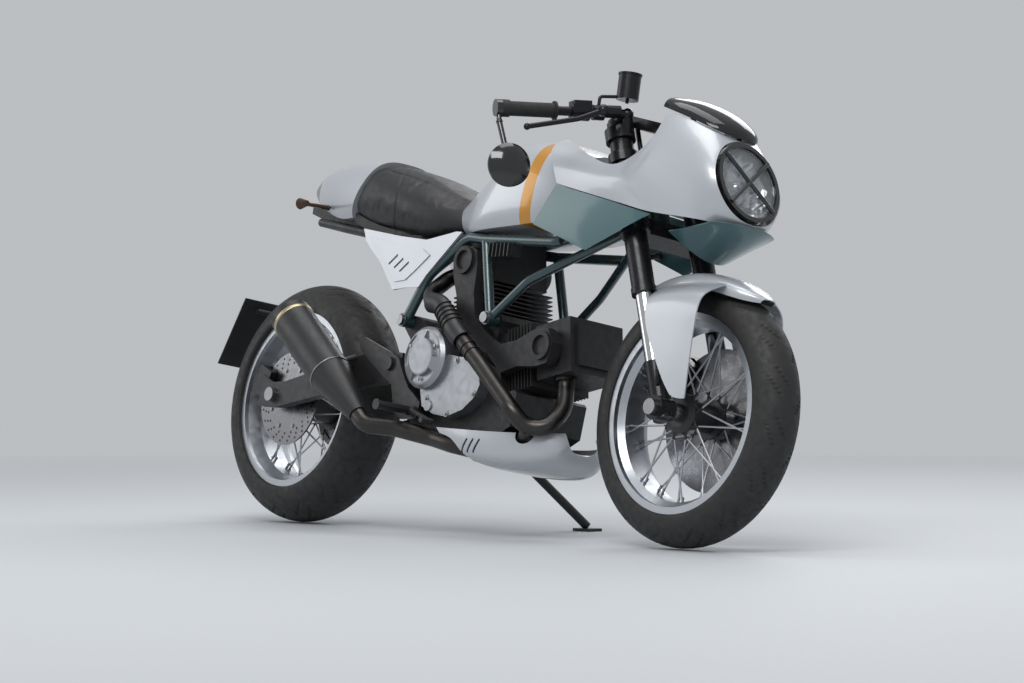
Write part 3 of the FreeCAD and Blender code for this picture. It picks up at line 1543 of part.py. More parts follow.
def make_engine_bolts():
    """The two through-bolts that carry the engine in the trellis's rings."""
    bolts = []
    for joint in ("foot", "mount"):
        right, left = (trellis(side, joint, s.frame_tube_radius + s.overrun / 2) for side in (-1, 1))
        bolts.append(bar(f"{joint}_bolt", right, left, s.mount_hole_radius - s.seat_gap))
        for side, end in ((-1, right), (1, left)):
            head = end + Vector(0, side * float(s.seat_gap), 0)
            bolts.append(rod(f"{joint}_bolt_head_{side + 1}", head, Vector(0, side, 0), s.mount_hole_radius
                             + s.overrun / 2, s.bolt_head))
            bolts.append(rod(f"{joint}_bolt_neck_{side + 1}", end, Vector(0, side, 0),
                             s.mount_hole_radius - 2 * s.seat_gap, s.bolt_head / 2))
    return fuse("engine_bolts_body", *bolts)


def make_cylinder(which):
    """A finned barrel and head with a cam cover on each side and a valve cover on top."""
    direction, _, angle = cylinder_frame(which)
    turn = Rotation(Vector(0, 1, 0), -angle)
    start = crank + direction * (float(s.barrel_start) + float(s.seat_gap))
    pieces = [rod(f"{which}_barrel", start, direction, s.barrel_radius, s.barrel_length)]
    count = int(float(s.barrel_length) / float(s.fin_pitch))
    for index in range(count):
        along = float(s.fin_pitch) * (index + 0.5)
        pieces.append(block(f"{which}_fin_{index}", start + direction * along, s.fin_thickness,
                            2 * s.fin_half_width, 2 * s.fin_half_depth, turn))
    head_middle = start + direction * (float(s.barrel_length) + float(s.head_length) / 2)
    pieces.append(block(f"{which}_head", head_middle, s.head_length, 2 * s.head_half_width,
                        2 * s.head_half_depth, turn))
    top = head_middle + direction * (float(s.head_length) / 2)
    pieces.append(block(f"{which}_valve_cover", top, 2 * s.clutch_rim, 3 * s.head_half_width / 2,
                        3 * s.head_half_depth / 2, turn))
    for side in (-1, 1):
        cam = head_middle + Vector(0, side * float(s.head_half_width), 0)
        ring = rod(f"{which}_cam_{side + 1}", cam, Vector(0, side, 0), s.cam_ring_radius, s.cam_ring_depth)
        pieces.append(ring)
    whole = fuse(f"{which}_cylinder_whole", *pieces)
    far = Vector(0, float(s.head_half_width) + float(s.cam_ring_depth), 0)
    cups = [rod(f"{which}_cam_cup_{side + 1}", head_middle + far * side, Vector(0, -side, 0),
                s.cam_cup_radius, s.cam_cup_depth) for side in (-1, 1)]
    keep(f"{which}_cylinder", cut(f"{which}_cylinder_body", whole, *cups))


belt_shares = [(0.45, -0.13), (0.68, -0.115), (0.84, -0.15), (0.93, -0.165), (1.05, -0.165), (1.1, -0.11),
               (1.14, 0.0), (1.1, 0.11), (1.05, 0.155), (0.93, 0.165), (0.84, 0.15), (0.68, 0.115), (0.45, 0.13)]
belt_middle_shares = [(-0.1, 0.47), (0.13, 0.47), (0.2, 0.36), (0.36, 0.2), (0.47, 0.13), (0.47, -0.12),
                      (0.42, -0.08), (0.3, 0.08), (0.1, 0.19), (-0.06, 0.27)]


def make_belt_covers():
    """The covers over the cam belts on the right, one along each cylinder from the case to its cam."""
    outer = float(s.case_half_width) + float(s.belt_cover_depth)
    inner = float(s.fin_half_width) + float(s.overrun) / 4
    plates, holes = [], []
    for which in ("front", "rear"):
        points = [cylinder_spot(which, *share) for share in belt_shares]
        plates.append(side_plate(f"{which}_belt_cover", [[(p.x, p.z) for p in points]],
                                 -(inner + outer) / 2, outer - inner))
        cam = cylinder_spot(which, 1, 0) - Vector(0, outer + float(s.overrun), 0)
        holes.append(rod(f"{which}_cam_hole", cam, Vector(0, 1, 0), s.cam_ring_radius + s.seat_gap, outer))
    points = [cylinder_spot("front", *share) for share in belt_middle_shares]
    face = float(s.case_half_width) + float(s.seat_gap)
    plates.append(side_plate("middle_belt_cover", [[(p.x, p.z) for p in points]], -(face + outer) / 2,
                             outer - face))
    return cut("belt_covers", fuse("belt_covers_whole", *plates), *holes, frame_shadow(s.overrun / 4))


lower_case_shares = [(0.01, 0.45), (0.07, 0.19), (0.27, 0.07), (0.49, 0.03), (0.74, 0.15), (0.91, 0.35),
                     (0.97, 0.55), (0.92, 0.79), (0.79, 0.97), (0.57, 1.0), (0.35, 1.05), (0.1, 0.92)]
case_boss_shares = [(0.13, 0.32), (0.49, 0.08), (0.89, 0.4), (0.78, 0.91), (0.55, 0.94)]
sprocket_cover_shares = [(0.05, 0.28), (0.05, 0.66), (0.24, 0.88), (0.6, 0.86), (1.0, 0.66), (1.0, 0.28),
                         (0.6, 0.06), (0.24, 0.08)]


def make_clutch_cover():
    """The silver clutch cover, dished round its badge, and the case below it with its bolt bosses."""
    face = -float(s.case_half_width) - float(s.seat_gap)
    centre = spot(s.clutch_ahead, face, s.clutch_height)
    front = s.clutch_depth + s.clutch_rim
    dome = turned("clutch_dome", centre, [
        (0, 0), (s.clutch_radius, 0), (s.clutch_radius, -s.clutch_depth),
        (s.clutch_radius - s.clutch_rim, -front),
        (s.clutch_badge_radius, -front - s.clutch_crown),
        (0, -front - s.clutch_crown),
    ])
    outline = placed(lower_case_shares, s.lower_case_ahead, s.lower_case_height, s.lower_case_length,
                     s.lower_case_tall)
    pieces = [dome, side_plate("lower_case", [outline], face - float(s.lower_case_depth) / 2, s.lower_case_depth)]
    for index, (along, up) in enumerate(case_boss_shares):
        foot = spot(s.lower_case_ahead + s.lower_case_length * along, face,
                    s.lower_case_height + s.lower_case_tall * up)
        pieces.append(rod(f"case_boss_{index}", foot, Vector(0, -1, 0), s.case_boss_radius,
                          s.lower_case_depth + s.overrun / 2))
    plug = spot(s.lower_case_ahead + s.lower_case_length * plug_shares[0], face,
                s.lower_case_height + s.lower_case_tall * plug_shares[1])
    pieces.append(rod("filler_plug", plug, Vector(0, -1, 0), s.plug_radius, s.lower_case_depth + s.overrun))
    tools = []
    for index in range(3):
        start = centre - Vector(0, float(front) - float(s.overrun) / 2, 0)
        outer = rod(f"recess_{index}", start, Vector(0, -1, 0), s.clutch_radius - 3 * s.clutch_rim / 2,
                    2 * s.clutch_crown)
        put(outer, Angle=s.recess_sweep)
        outer.Placement = Placement(start, Rotation(Vector(1, 0, 0), 90)).multiply(
            Placement(Vector(0, 0, 0), Rotation(Vector(0, 0, 1), 360 / 3 * index)))
        core = rod(f"recess_core_{index}", centre, Vector(0, -1, 0), s.clutch_badge_radius + s.overrun,
                   2 * s.clutch_depth)
        tools.append(cut(f"recess_arc_{index}", outer, core))
    keep("clutch_cover", cut("clutch_cover_body", fuse("clutch_cover_whole", *pieces), *tools))


plug_shares = (0.18, 0.2)


def make_left_covers():
    """The dark generator cover and the plate that covers the front sprocket."""
    far = spot(s.crank_ahead, float(s.case_half_width) + float(s.seat_gap), s.crank_height)
    profile = [(0, 0), (s.generator_radius, 0), (s.generator_radius, s.generator_depth / 2),
               (s.generator_radius - s.clutch_rim, s.generator_depth), (0, s.generator_depth)]
    generator = turned("generator_dome", far, profile)
    outline = placed(sprocket_cover_shares, s.cover_plate_ahead, s.cover_plate_height, s.cover_plate_length,
                     s.cover_plate_length)
    middle = float(s.case_half_width) + float(s.seat_gap) + float(s.cover_depth) / 2
    return [generator, side_plate("sprocket_cover_plate", [outline], middle, s.cover_depth)]


make_crankcase()
make_cylinder("front")
make_cylinder("rear")
make_clutch_cover()
keep("engine_covers", make_belt_covers(), *make_left_covers())


# Exhaust

def bike_points(shares):
    """Points by shares of the wheelbase ahead, the pipes' half width to the right, and the pipes' height."""
    return [spot(s.wheelbase * x, -s.pipe_side * y, s.pipe_height * z) for x, y, z in shares]


header_shares = [(0.412, 0.43, 1.25), (0.406, 0.73, 1.15), (0.434, 0.885, 1.09), (0.468, 0.9, 1.076),
                 (0.525, 1.0, 0.94), (0.6, 1.0, 0.78), (0.697, 1.0, 0.56), (0.71, 0.82, 0.496),
                 (0.735, 0.62, 0.5), (0.738, 0.36, 0.6)]
link_shares = [(0.711, 0.8, 0.488), (0.655, 0.47, 0.392)]
duct_shares = [(0.585, 0.7, 0.38), (0.53, 0.84, 0.402), (0.487, 0.85, 0.426), (0.4, 1.01, 0.464)]
shield_shares = [(0.0, 0.12), (1.0, 0.3)]


def port_spot(which, side_share, gap):
    """The middle of a cylinder head's exhaust port, on the face away from the other cylinder."""
    direction, across, _ = cylinder_frame(which)
    out = across if which == "rear" else -across
    head = cylinder_spot(which, 1, 0) + direction * float(s.seat_gap)
    return head + out * (float(s.head_half_depth) + float(gap)) - Vector(0, float(s.pipe_side) * side_share, 0), out


def muffler_point(share):
    start = spot(s.muffler_inlet_ahead, -float(s.muffler_offset), s.muffler_inlet_height)
    end = spot(s.muffler_end_ahead, -float(s.muffler_offset), s.muffler_end_height)
    return start + (end - start) * float(share)


def header_points():
    rear_port, rear_out = port_spot("rear", header_port_side_shares[0], s.seat_gap)
    front_port, front_out = port_spot("front", header_port_side_shares[1], s.seat_gap)
    stub = float(s.pipe_radius)
    return ([rear_port, rear_port + rear_out * stub] + bike_points(header_shares)
            + [front_port + front_out * stub, front_port])


def duct_points():
    away = Vector(muffler_point(0) - muffler_point(1)).normalize()
    end = muffler_point(0) + away * float(s.seat_gap)
    return bike_points(duct_shares) + [end + away * (2 * float(s.duct_radius)), end]


def collector_block(name, grow):
    middle = spot(s.collector_ahead, s.collector_side, s.collector_height)
    return block(name, middle, s.collector_length + 2 * grow, s.collector_width + 2 * grow,
                 s.collector_depth + 2 * grow)


header_port_side_shares = (0.18, 0.27)


def make_exhaust():
    """Both headers as one bent pipe down the right side, the collector box and the duct to the muffler."""
    points = header_points()
    pieces = [tube("header", points, s.pipe_radius, s.pipe_bend)]
    for name, start, ahead in (("rear", points[0], points[1]), ("front", points[-1], points[-2])):
        pieces.append(rod(f"{name}_port_flange", start, ahead - start, s.pipe_radius + s.clamp_wall,
                          s.clamp_wall))
    low = bike_points(header_shares)
    along = Vector(low[5] - low[4]).normalize()
    for step in (0, 1):
        start = low[4] + along * float(s.pipe_bend - step * s.pipe_bend / 4)
        pieces.append(rod(f"header_collar_{step}", start, along, s.pipe_radius + s.overrun / 2, s.overrun))
    pieces.append(tube("header_link", bike_points(link_shares), s.link_radius, s.pipe_bend))
    pieces.append(collector_block("collector", Size(0.0, "0")))
    pieces.append(tube("duct", duct_points(), s.duct_radius, s.pipe_bend))
    keep("exhaust_pipes", fuse("pipes_body", *pieces))


def make_heat_shield():
    """A ribbed half shell over the header's run beside the seat, on two clamps round the pipe."""
    low = bike_points(header_shares)
    path = [low[2] + (low[3] - low[2]) * shield_shares[0][1], low[3], low[4],
            low[4] + (low[5] - low[4]) * shield_shares[1][1]]
    inner = s.pipe_radius + s.shield_gap
    outer = tube("shield_outer", path, inner + s.panel_wall, s.pipe_bend)
    ribs = []
    along = Vector(path[2] - path[1]).normalize()
    for index in range(5):
        start = path[1] + (path[2] - path[1]) * (0.2 + 0.15 * index)
        ribs.append(rod(f"shield_rib_{index}", start, along, inner + 2 * s.panel_wall, s.panel_wall))
    room = tube("shield_room", path, inner, s.pipe_bend)
    middle = (path[1] + path[2]) * 0.5
    half = block("shield_half", middle + Vector(0, float(s.pipe_side) / 2 + float(s.overrun), 0),
                 3 * s.pipe_side, s.pipe_side, 3 * s.pipe_side)
    shell = cut("shield_shell", fuse("shield_whole", outer, *ribs), room, half)
    clamps = []
    for index, share in enumerate((0.3, 0.66)):
        start = path[1] + (path[2] - path[1]) * share
        clamps.append(sleeve(f"shield_clamp_{index}", start, along, inner + s.seat_gap,
                             s.pipe_radius + s.seat_gap, s.clamp_wall))
    keep("heat_shield", fuse("heat_shield_body", shell, *clamps))


def make_muffler():
    nose, ring, belt, end = (muffler_point(share) for share in muffler_shares)
    direction = Vector(end - nose).normalize()
    cone_body = cone("muffler_cone", nose, ring, s.duct_radius + s.panel_wall, s.muffler_radius)
    can = bar("muffler_can", ring, belt, s.muffler_radius)
    hanger = bar("muffler_hanger", ring + Vector(0, 0, float(s.muffler_radius) / 2),
                 spot(ring.x + float(s.mount_ring_radius), -float(s.swing_half_width + s.swing_arm_width
                      + s.plate_thickness + 2 * s.seat_gap), ring.z + float(s.muffler_radius)), s.link_radius / 2)
    keep("muffler", fuse("muffler_body", cone_body, can, hanger))
    start = belt + direction * float(s.seat_gap)
    cap = fuse("muffler_cap_whole", bar("cap_band", start, end, s.muffler_radius),
               cone("cap_cone", end, end + direction * float(s.muffler_cap_depth), s.muffler_radius,
                    s.muffler_cap_radius))
    mouth = rod("cap_mouth", end - direction * float(s.muffler_cap_depth), direction, s.muffler_mouth_radius,
                3 * s.muffler_cap_depth)
    keep("muffler_cap", cut("muffler_cap_body", cap, mouth))


muffler_shares = (0.0, 0.4, 0.86, 1.0)

make_exhaust()
make_heat_shield()
make_muffler()


# Tank, seat and tail

tank_section_shares = [(0.9, 0.0), (1.0, 0.1), (1.02, 0.5), (0.88, 0.88), (0.5, 1.0), (0.0, 1.02)]
tank_station_shares = [
    (0.011, -0.33, 0.68, 0.1, 0.42),
    (0.05, 0.2, 0.8, 0.09, 0.62),
    (0.12, 0.4, 0.92, 0.09, 0.84),
    (0.26, 0.25, 0.98, 0.1, 0.97),
    (0.45, 0.1, 1.0, 0.11, 1.0),
    (0.65, 0.0, 1.0, 0.13, 0.94),
    (0.87, 0.0, 0.86, 0.2, 0.8),
]
seat_section_shares = [(0.85, 0.0), (1.0, 0.12), (1.0, 0.55), (0.85, 0.9), (0.45, 1.0), (0.0, 1.0)]
seat_station_shares = [
    (0.023, 0.56, 0.8, 0.245, 0.86),
    (0.09, 0.5, 0.843, 0.19, 0.87),
    (0.25, 0.35, 0.893, 0.07, 0.81),
    (0.42, 0.2, 0.964, -0.01, 0.74),
    (0.58, 0.1, 0.986, -0.08, 0.64),
    (0.74, 0.05, 0.986, -0.15, 0.5),
    (0.88, 0.0, 0.914, -0.13, 0.325),
]
seat_front_shares = (0.714, -0.12, 0.3)
cowl_section_shares = [(0.8, 0.0), (1.0, 0.15), (1.0, 0.55), (0.8, 0.9), (0.4, 1.0), (0.0, 1.0)]
cowl_station_shares = [
    (0.0, 0.0, 0.1, 0.54, 0.72),
    (0.16, 0.0, 0.29, 0.34, 0.91),
    (0.347, 0.05, 0.52, 0.22, 0.97),
    (0.553, 0.15, 0.71, 0.094, 1.0),
    (0.746, 0.3, 0.85, 0.006, 1.02),
    (0.872, 0.45, 0.93, 0.0, 0.98),
]
cowl_front_shares = (0.983, 0.0, 0.96)


def seat_stations():
    """The seat's stations, the last of which lies a seat gap behind the tank's sloping back."""
    along_share, slope_share = tank_station_shares[0][:2]
    front = (float(s.tank_back) + float(s.tank_length) * along_share
             + slope_share * (float(s.seat_base) - float(s.tank_base)))
    gap = float(s.seat_gap) * math.hypot(1, slope_share)
    last_share = (front - float(s.seat_back) - gap) / float(s.seat_length)
    return seat_station_shares + [(last_share, slope_share) + seat_front_shares]


def cowl_stations():
    """The cowl's stations, the last of which lies a seat gap behind the seat's leaning back."""
    along_share, slope_share = seat_station_shares[0][:2]
    back = (float(s.seat_back) + float(s.seat_length) * along_share
            + slope_share * (float(s.cowl_base) - float(s.seat_base)))
    gap = float(s.seat_gap) * math.hypot(1, slope_share)
    last_share = (back - float(s.cowl_back) - gap) / float(s.cowl_length)
    return cowl_station_shares + [(last_share, slope_share) + cowl_front_shares]


def rear_head_room(name):
    """The space that the tank and the seat's base leave round the rear cylinder's head."""
    direction, _, angle = cylinder_frame("rear")
    rise = float(s.clutch_rim + s.pan_gap - s.head_length / 2)
    return block(name, cylinder_spot("rear", 1, 0) + direction * rise, 2 * s.head_length,
                 2 * (s.head_half_width + s.pan_gap), 2 * (s.head_half_depth + s.pan_gap),
                 Rotation(Vector(0, 1, 0), -angle))


def make_tank():
    """The tank's shell, with its saddle over the trellis and its hollow over the rear cylinder's head."""
    hull = shape("tank_hull", station_hull(
        tank_station_shares, tank_section_shares, s.tank_back, s.tank_base, s.tank_length,
        s.tank_half_width, s.tank_height))
    keep("fuel_tank", cut("fuel_tank_body", hull, rear_head_room("tank_head_room"), frame_shadow(s.seat_gap)))


def make_seat():
    """The single seat rises to a hump at its back and meets the tank along the tank's sloping back."""
    keep("seat", shape("seat_pad", station_hull(
        seat_stations(), seat_section_shares, s.seat_back, s.seat_base, s.seat_length,
        s.seat_half_width, s.seat_height)))


def make_cowl():
    """The tail behind the seat, whose rounded tip is the rear lamp."""
    hull = shape("cowl_hull", station_hull(
        cowl_stations(), cowl_section_shares, s.cowl_back, s.cowl_base, s.cowl_length,
        s.cowl_half_width, s.cowl_height))
    reach = 2 * s.cowl_height
    middle = spot(s.cowl_back + s.tail_lamp_length - reach / 2, 0, s.cowl_base + s.cowl_height / 2)
    tip = block("tail_room", middle + Vector(float(s.seat_gap), 0, 0), reach, reach, reach)
    keep("seat_cowl", cut("seat_cowl_body", hull, tip))
    lamp = doc.addObject("Part::Common", "tail_lamp_body")
    lamp.Base = hull
    lamp.Tool = block("tail_lamp_room", middle, reach, reach, reach)
    keep("tail_light", lamp)


def floor_tray(name, stations, back, base, length, height, half_width):
    """A tray whose top follows the floor of a hull, a seat gap below it."""
    edges = []
    for drop in (s.seat_gap, s.seat_gap + s.tray_depth):
        poles = []
        for along, lean, _, low, _ in stations:
            z = float(height) * low
            poles.append(spot(float(back) + float(length) * along + lean * z, -float(half_width),
                              float(base) + z - float(drop)))
        degree = min(3, len(poles) - 1)
        knots, mults = knots_for(len(poles), degree)
        line = Part.BSplineCurve()
        line.buildFromPolesMultsKnots(poles, mults, knots, False, degree)
        edges.append((line.toShape(), poles[0], poles[-1]))
    (top, a, b), (under, c, d) = edges
    outline = Part.Wire([top, Part.LineSegment(b, d).toShape(), under, Part.LineSegment(c, a).toShape()])
    return shape(name, Part.Face(outline).extrude(Vector(0, 2 * float(half_width), 0)))


def make_seat_tray():
    """The seat's and the tail's base, notched over the rails that they rest on."""
    seat = floor_tray("seat_floor_tray", seat_stations(), s.seat_back, s.seat_base, s.seat_length,
                      s.seat_height, s.tray_half_width)
    tail = floor_tray("tail_floor_tray", cowl_stations()[1:], s.cowl_back, s.cowl_base, s.cowl_length,
                      s.cowl_height, s.rail_back_half_width + s.brace_tube_radius / 2)
    rails = []
    for side in (-1, 1):
        rails.append(tube(f"rail_shadow_{side + 1}", rail_points(side), s.brace_tube_radius + s.seat_gap))
    right, left = rail_points(-1), rail_points(1)
    for index in (1, 2):
        rails.append(bar(f"cross_shadow_{index}", right[index], left[index], s.brace_tube_radius + s.seat_gap))
    keep("seat_tray", cut("seat_tray_body", fuse("seat_tray_whole", seat, tail), *rails,
                          rear_head_room("tray_head_room"), frame_shadow(s.seat_gap)))


make_tank()
make_seat()
make_cowl()
make_seat_tray()


# Fairing, screen and lamp

def fairing_net(rows):
    """Control points from shares of the fairing's length, half width and height, on the right side."""
    return [
        [spot(s.fairing_back + s.fairing_length * x, -s.fairing_half_width * y,
              s.fairing_base + s.fairing_height * z) for x, y, z in row]
        for row in rows
    ]


nose_shares = [
    [(0.984, 0, 0.462), (0.982, 0.28, 0.468), (0.944, 0.52, 0.58), (0.90, 0.52, 0.72), (0.86, 0.28, 0.836),
     (0.856, 0, 0.844)],
    [(0.96, 0.15, 0.444), (0.952, 0.375, 0.452), (0.916, 0.57, 0.57), (0.876, 0.57, 0.724),
     (0.852, 0.39, 0.83), (0.84, 0.26, 0.86)],
    [(0.88, 0.525, 0.452), (0.86, 0.59, 0.49), (0.83, 0.62, 0.60), (0.80, 0.59, 0.74), (0.786, 0.475, 0.85),
     (0.776, 0.385, 0.892)],
    [(0.76, 0.675, 0.462), (0.73, 0.71, 0.54), (0.70, 0.70, 0.64), (0.684, 0.61, 0.76), (0.676, 0.525, 0.86),
     (0.668, 0.43, 0.932)],
    [(0.652, 0.76, 0.474), (0.60, 0.79, 0.57), (0.56, 0.80, 0.658), (0.544, 0.65, 0.76), (0.53, 0.56, 0.86),
     (0.514, 0.43, 0.992)],
    [(0.57, 0.775, 0.492), (0.536, 0.80, 0.58), (0.50, 0.815, 0.644), (0.52, 0.70, 0.72),
     (0.536, 0.625, 0.79), (0.544, 0.56, 0.85)],
    [(0.50, 0.78, 0.512), (0.48, 0.815, 0.58), (0.46, 0.83, 0.63), (0.444, 0.80, 0.676), (0.436, 0.77, 0.696),
     (0.426, 0.75, 0.706)],
    [(0.32, 0.80, 0.556), (0.31, 0.83, 0.60), (0.30, 0.84, 0.64), (0.30, 0.80, 0.676), (0.30, 0.785, 0.692),
     (0.30, 0.775, 0.70)],
    [(0.16, 0.82, 0.594), (0.15, 0.84, 0.65), (0.14, 0.825, 0.70), (0.136, 0.785, 0.74), (0.13, 0.75, 0.764),
     (0.126, 0.72, 0.78)],
    [(0.012, 0.84, 0.632), (-0.03, 0.83, 0.71), (-0.084, 0.80, 0.77), (-0.116, 0.70, 0.83),
     (-0.13, 0.56, 0.864), (-0.14, 0.44, 0.88)],
]
side_shares = [
    [(-0.12, 0.84, 0.444), (-0.054, 0.85, 0.536), (0.01, 0.84, 0.626)],
    [(0.07, 0.82, 0.378), (0.20, 0.86, 0.46), (0.33, 0.81, 0.548)],
    [(0.246, 0.79, 0.312), (0.446, 0.80, 0.39), (0.644, 0.77, 0.466)],
]
screen_shares = [
    [(0.50, 0.43, 1.0), (0.50, 0.42, 1.035), (0.496, 0.25, 1.06), (0.494, 0, 1.064)],
    [(0.60, 0.44, 0.966), (0.60, 0.44, 1.005), (0.60, 0.275, 1.044), (0.60, 0, 1.052)],
    [(0.70, 0.43, 0.93), (0.704, 0.43, 0.965), (0.708, 0.28, 1.002), (0.708, 0, 1.014)],
    [(0.784, 0.39, 0.896), (0.796, 0.38, 0.918), (0.804, 0.23, 0.948), (0.808, 0, 0.96)],
    [(0.844, 0.275, 0.866), (0.86, 0.25, 0.88), (0.868, 0.14, 0.896), (0.872, 0, 0.90)],
    [(0.86, 0.1, 0.858), (0.862, 0.07, 0.86), (0.864, 0.03, 0.862), (0.864, 0, 0.862)],
]
chin_shares = [
    [(1.0, 0, 0.45), (0.99, 0.3, 0.45), (0.93, 0.5, 0.44)],
    [(0.98, 0, 0.40), (0.95, 0.3, 0.40), (0.86, 0.56, 0.42)],
    [(0.88, 0, 0.34), (0.84, 0.3, 0.345), (0.76, 0.6, 0.40)],
    [(0.78, 0, 0.285), (0.76, 0.25, 0.30), (0.70, 0.6, 0.40)],
]


def make_fairing():
    """The two nose panels, the two teal side panels under them, the screen and the chin."""
    right = fairing_net(nose_shares)
    pair = []
    for name, rows in (("right", right), ("left", other_side(right))):
        pair.append(shape(f"{name}_nose_panel", shell_panel(rows, s.panel_wall)))
    nose = keep("nose_fairing", *pair)
    right = fairing_net(side_shares)
    pair = []
    for name, rows in (("right", right), ("left", other_side(right))):
        pair.append(shape(f"{name}_side_panel", shell_panel(rows, -s.panel_wall)))
    sides = keep("side_fairing", *pair)
    rows = [whole_row(row) for row in fairing_net(screen_shares)]
    screen = keep("windscreen", shape("screen_bubble", shell_panel(rows, -s.panel_wall)))
    rows = [whole_row(list(reversed(row))) for row in fairing_net(chin_shares)]
    chin = keep("chin_cowl", shape("chin_panel", shell_panel(rows, s.panel_wall)))
    return nose, sides, screen, chin


def lamp_frame():
    tilt = math.radians(float(s.lamp_tilt))
    return Vector(math.cos(tilt), 0, math.sin(tilt)), spot(s.lamp_ahead, 0, s.lamp_height)


def make_lamp():
    """The round lamp: a bowl, a bezel, a lens and a dark guard of two crossed bars over the lens."""
    ahead, middle = lamp_frame()
    back = middle - ahead * float(s.lamp_depth)
    inner = s.lamp_radius - s.lamp_bezel
    bowl = cone("lamp_bowl", back, middle, s.lamp_back_radius, inner)
    front = s.lamp_bezel / 2
    bezel = rod("lamp_bezel", middle - ahead * float(s.lamp_bezel), ahead, s.lamp_radius, s.lamp_bezel + front)
    hollow = cone("lamp_hollow", back + ahead * (2 * float(s.panel_wall)), middle, s.lamp_back_radius - s.panel_wall,
                  inner - s.panel_wall)
    mouth = rod("lamp_mouth", middle - ahead * float(front), ahead, inner, 3 * s.lamp_bezel)
    shell = cut("lamp_shell", fuse("lamp_whole", bowl, bezel), hollow, mouth)
    bars = []
    face = middle + ahead * float(front)
    for turn in (float(s.guard_turn), -float(s.guard_turn)):
        angle = math.radians(turn)
        across = Vector(0, math.cos(angle), 0) + ahead.cross(Vector(0, 1, 0)) * math.sin(angle)
        reach = float(s.lamp_radius) - float(s.guard_radius)
        bars.append(bar(f"guard_bar_{turn:.0f}", face - across * reach, face + across * reach,
                        s.guard_radius))
    keep("headlight", fuse("headlight_body", shell, *bars))
    keep("headlight_lens", rod("lens_disc", middle - ahead * float(front - s.seat_gap), ahead,
                               inner - s.seat_gap, s.panel_wall))


def traced(start, direction, targets, radius):
    """Where a ball that moves along a line comes to rest a seat gap off a piece."""
    unit = Vector(direction).normalize()
    place = Vector(start)
    room = float(radius) + float(s.seat_gap)
    for _ in range(60):
        near = min(Part.Vertex(parked.multVec(place)).distToShape(target.Shape)[0] for target in targets)
        if near - room < float(s.running_fit) / 8:
            return place
        place = place + unit * (near - room)
    raise RuntimeError("a stay found no panel")


def stay(name, start, direction, targets, radius):
    """A rod from a start to the ball that rests against a panel."""
    end = traced(start, direction, targets, radius)
    return fuse(name, bar(name + "_rod", start, end, radius * 0.75), ball(name + "_foot", end, radius))


def make_fairing_stays(nose, sides, screen, chin):
    """The tube from the head tube to the lamp, with its arms to the panels, the screen and the chin."""
    ahead, middle = lamp_frame()
    radius = s.stay_radius
    lamp_end = middle - ahead * (float(s.lamp_depth) + float(s.seat_gap))
    root = on_steering(s.stay_reach, 0, s.head_tube_radius / 2)
    fork = spot(s.stay_fork_ahead, 0, s.stay_fork_height)
    high = spot(s.stay_fork_ahead, 0, s.stay_high)
    pieces = [tube("stay_main", [root, fork, lamp_end], radius, s.tube_bend / 2),
              bar("stay_column", fork, high, radius)]
    for side, name in ((-1, "right"), (1, "left")):
        out = Vector(0, side, 0)
        pieces.append(stay(f"{name}_nose_stay", fork, out, [nose], radius))
        pieces.append(stay(f"{name}_high_stay", high, out, [nose, screen], radius))
        knee = high + out * float(s.stay_screen_side)
        pieces.append(stay(f"{name}_screen_stay", knee, Vector(0, 0, 1), [screen], radius))
        joint = trellis(side, "nose")
        pieces.append(stay(f"{name}_side_stay", joint, Vector(1, side, 0.5), [sides], radius))
    pieces.append(stay("chin_stay", fork, Vector(1, 0, -1.6), [chin], radius))
    head_low = on_steering(s.lower_clamp_reach)
    head = rod("stay_head_room", head_low, steer_up, s.head_tube_radius + s.seat_gap,
               s.top_clamp_reach - s.lower_clamp_reach)
    braces = []
    for side in (-1, 1):
        low_head = on_steering(s.lower_clamp_reach + s.lower_clamp_height + s.head_joint_rise)
        braces.append(tube(f"brace_shadow_{side + 1}", [trellis(side, "mount"), trellis(side, "brace"), low_head],
                           s.brace_tube_radius + s.seat_gap))
    keep("fairing_stays", cut("fairing_stays_body", fuse("fairing_stays_whole", *pieces), head,
                              frame_shadow(s.seat_gap), *braces))


make_lamp()
make_fairing_stays(*make_fairing())


def make_indicators(cowl):
    """Two small amber lamps on stalks from the sides of the tail."""
    lamps = []
    for side, name in ((-1, "right"), (1, "left")):
        tip = spot(s.indicator_ahead, side * float(s.indicator_side), s.indicator_height)
        inward = Vector(float(-s.indicator_radius), -side * float(s.indicator_side) / 2, float(s.indicator_radius) / 2)
        stalk = stay(f"{name}_indicator_stalk", tip, inward, [cowl], s.indicator_radius / 2)
        lamp = cone(f"{name}_indicator_lamp", tip - Vector(float(s.indicator_radius), 0, 0),
                    tip + Vector(float(s.indicator_radius), 0, 0), s.indicator_radius, s.indicator_radius / 2)
        lamps.append(fuse(f"{name}_indicator", stalk, lamp))
    keep("rear_indicators", *lamps)


def make_instrument():
    """The small instrument on two posts that stand on the top clamp, and the box under the tank."""
    middle = spot(s.instrument_ahead, -float(s.instrument_side), s.instrument_height)
    turn = Rotation(Vector(0, 1, 0), float(s.instrument_tilt))
    box = block("instrument_box", middle, s.instrument_length, s.instrument_width, s.instrument_depth, turn)
    posts = []
    foot = s.top_clamp_reach + s.top_clamp_height + s.seat_gap
    for index, ahead in enumerate((-s.bridge_depth / 4, s.bridge_depth / 4)):
        low = on_steering(foot, -s.instrument_side, ahead + fork_offset / 2)
        posts.append(rod(f"instrument_post_{index}", low, steer_up, s.instrument_post_radius,
                         s.instrument_post_length))
    keep("instrument", fuse("instrument_body", box, *posts))


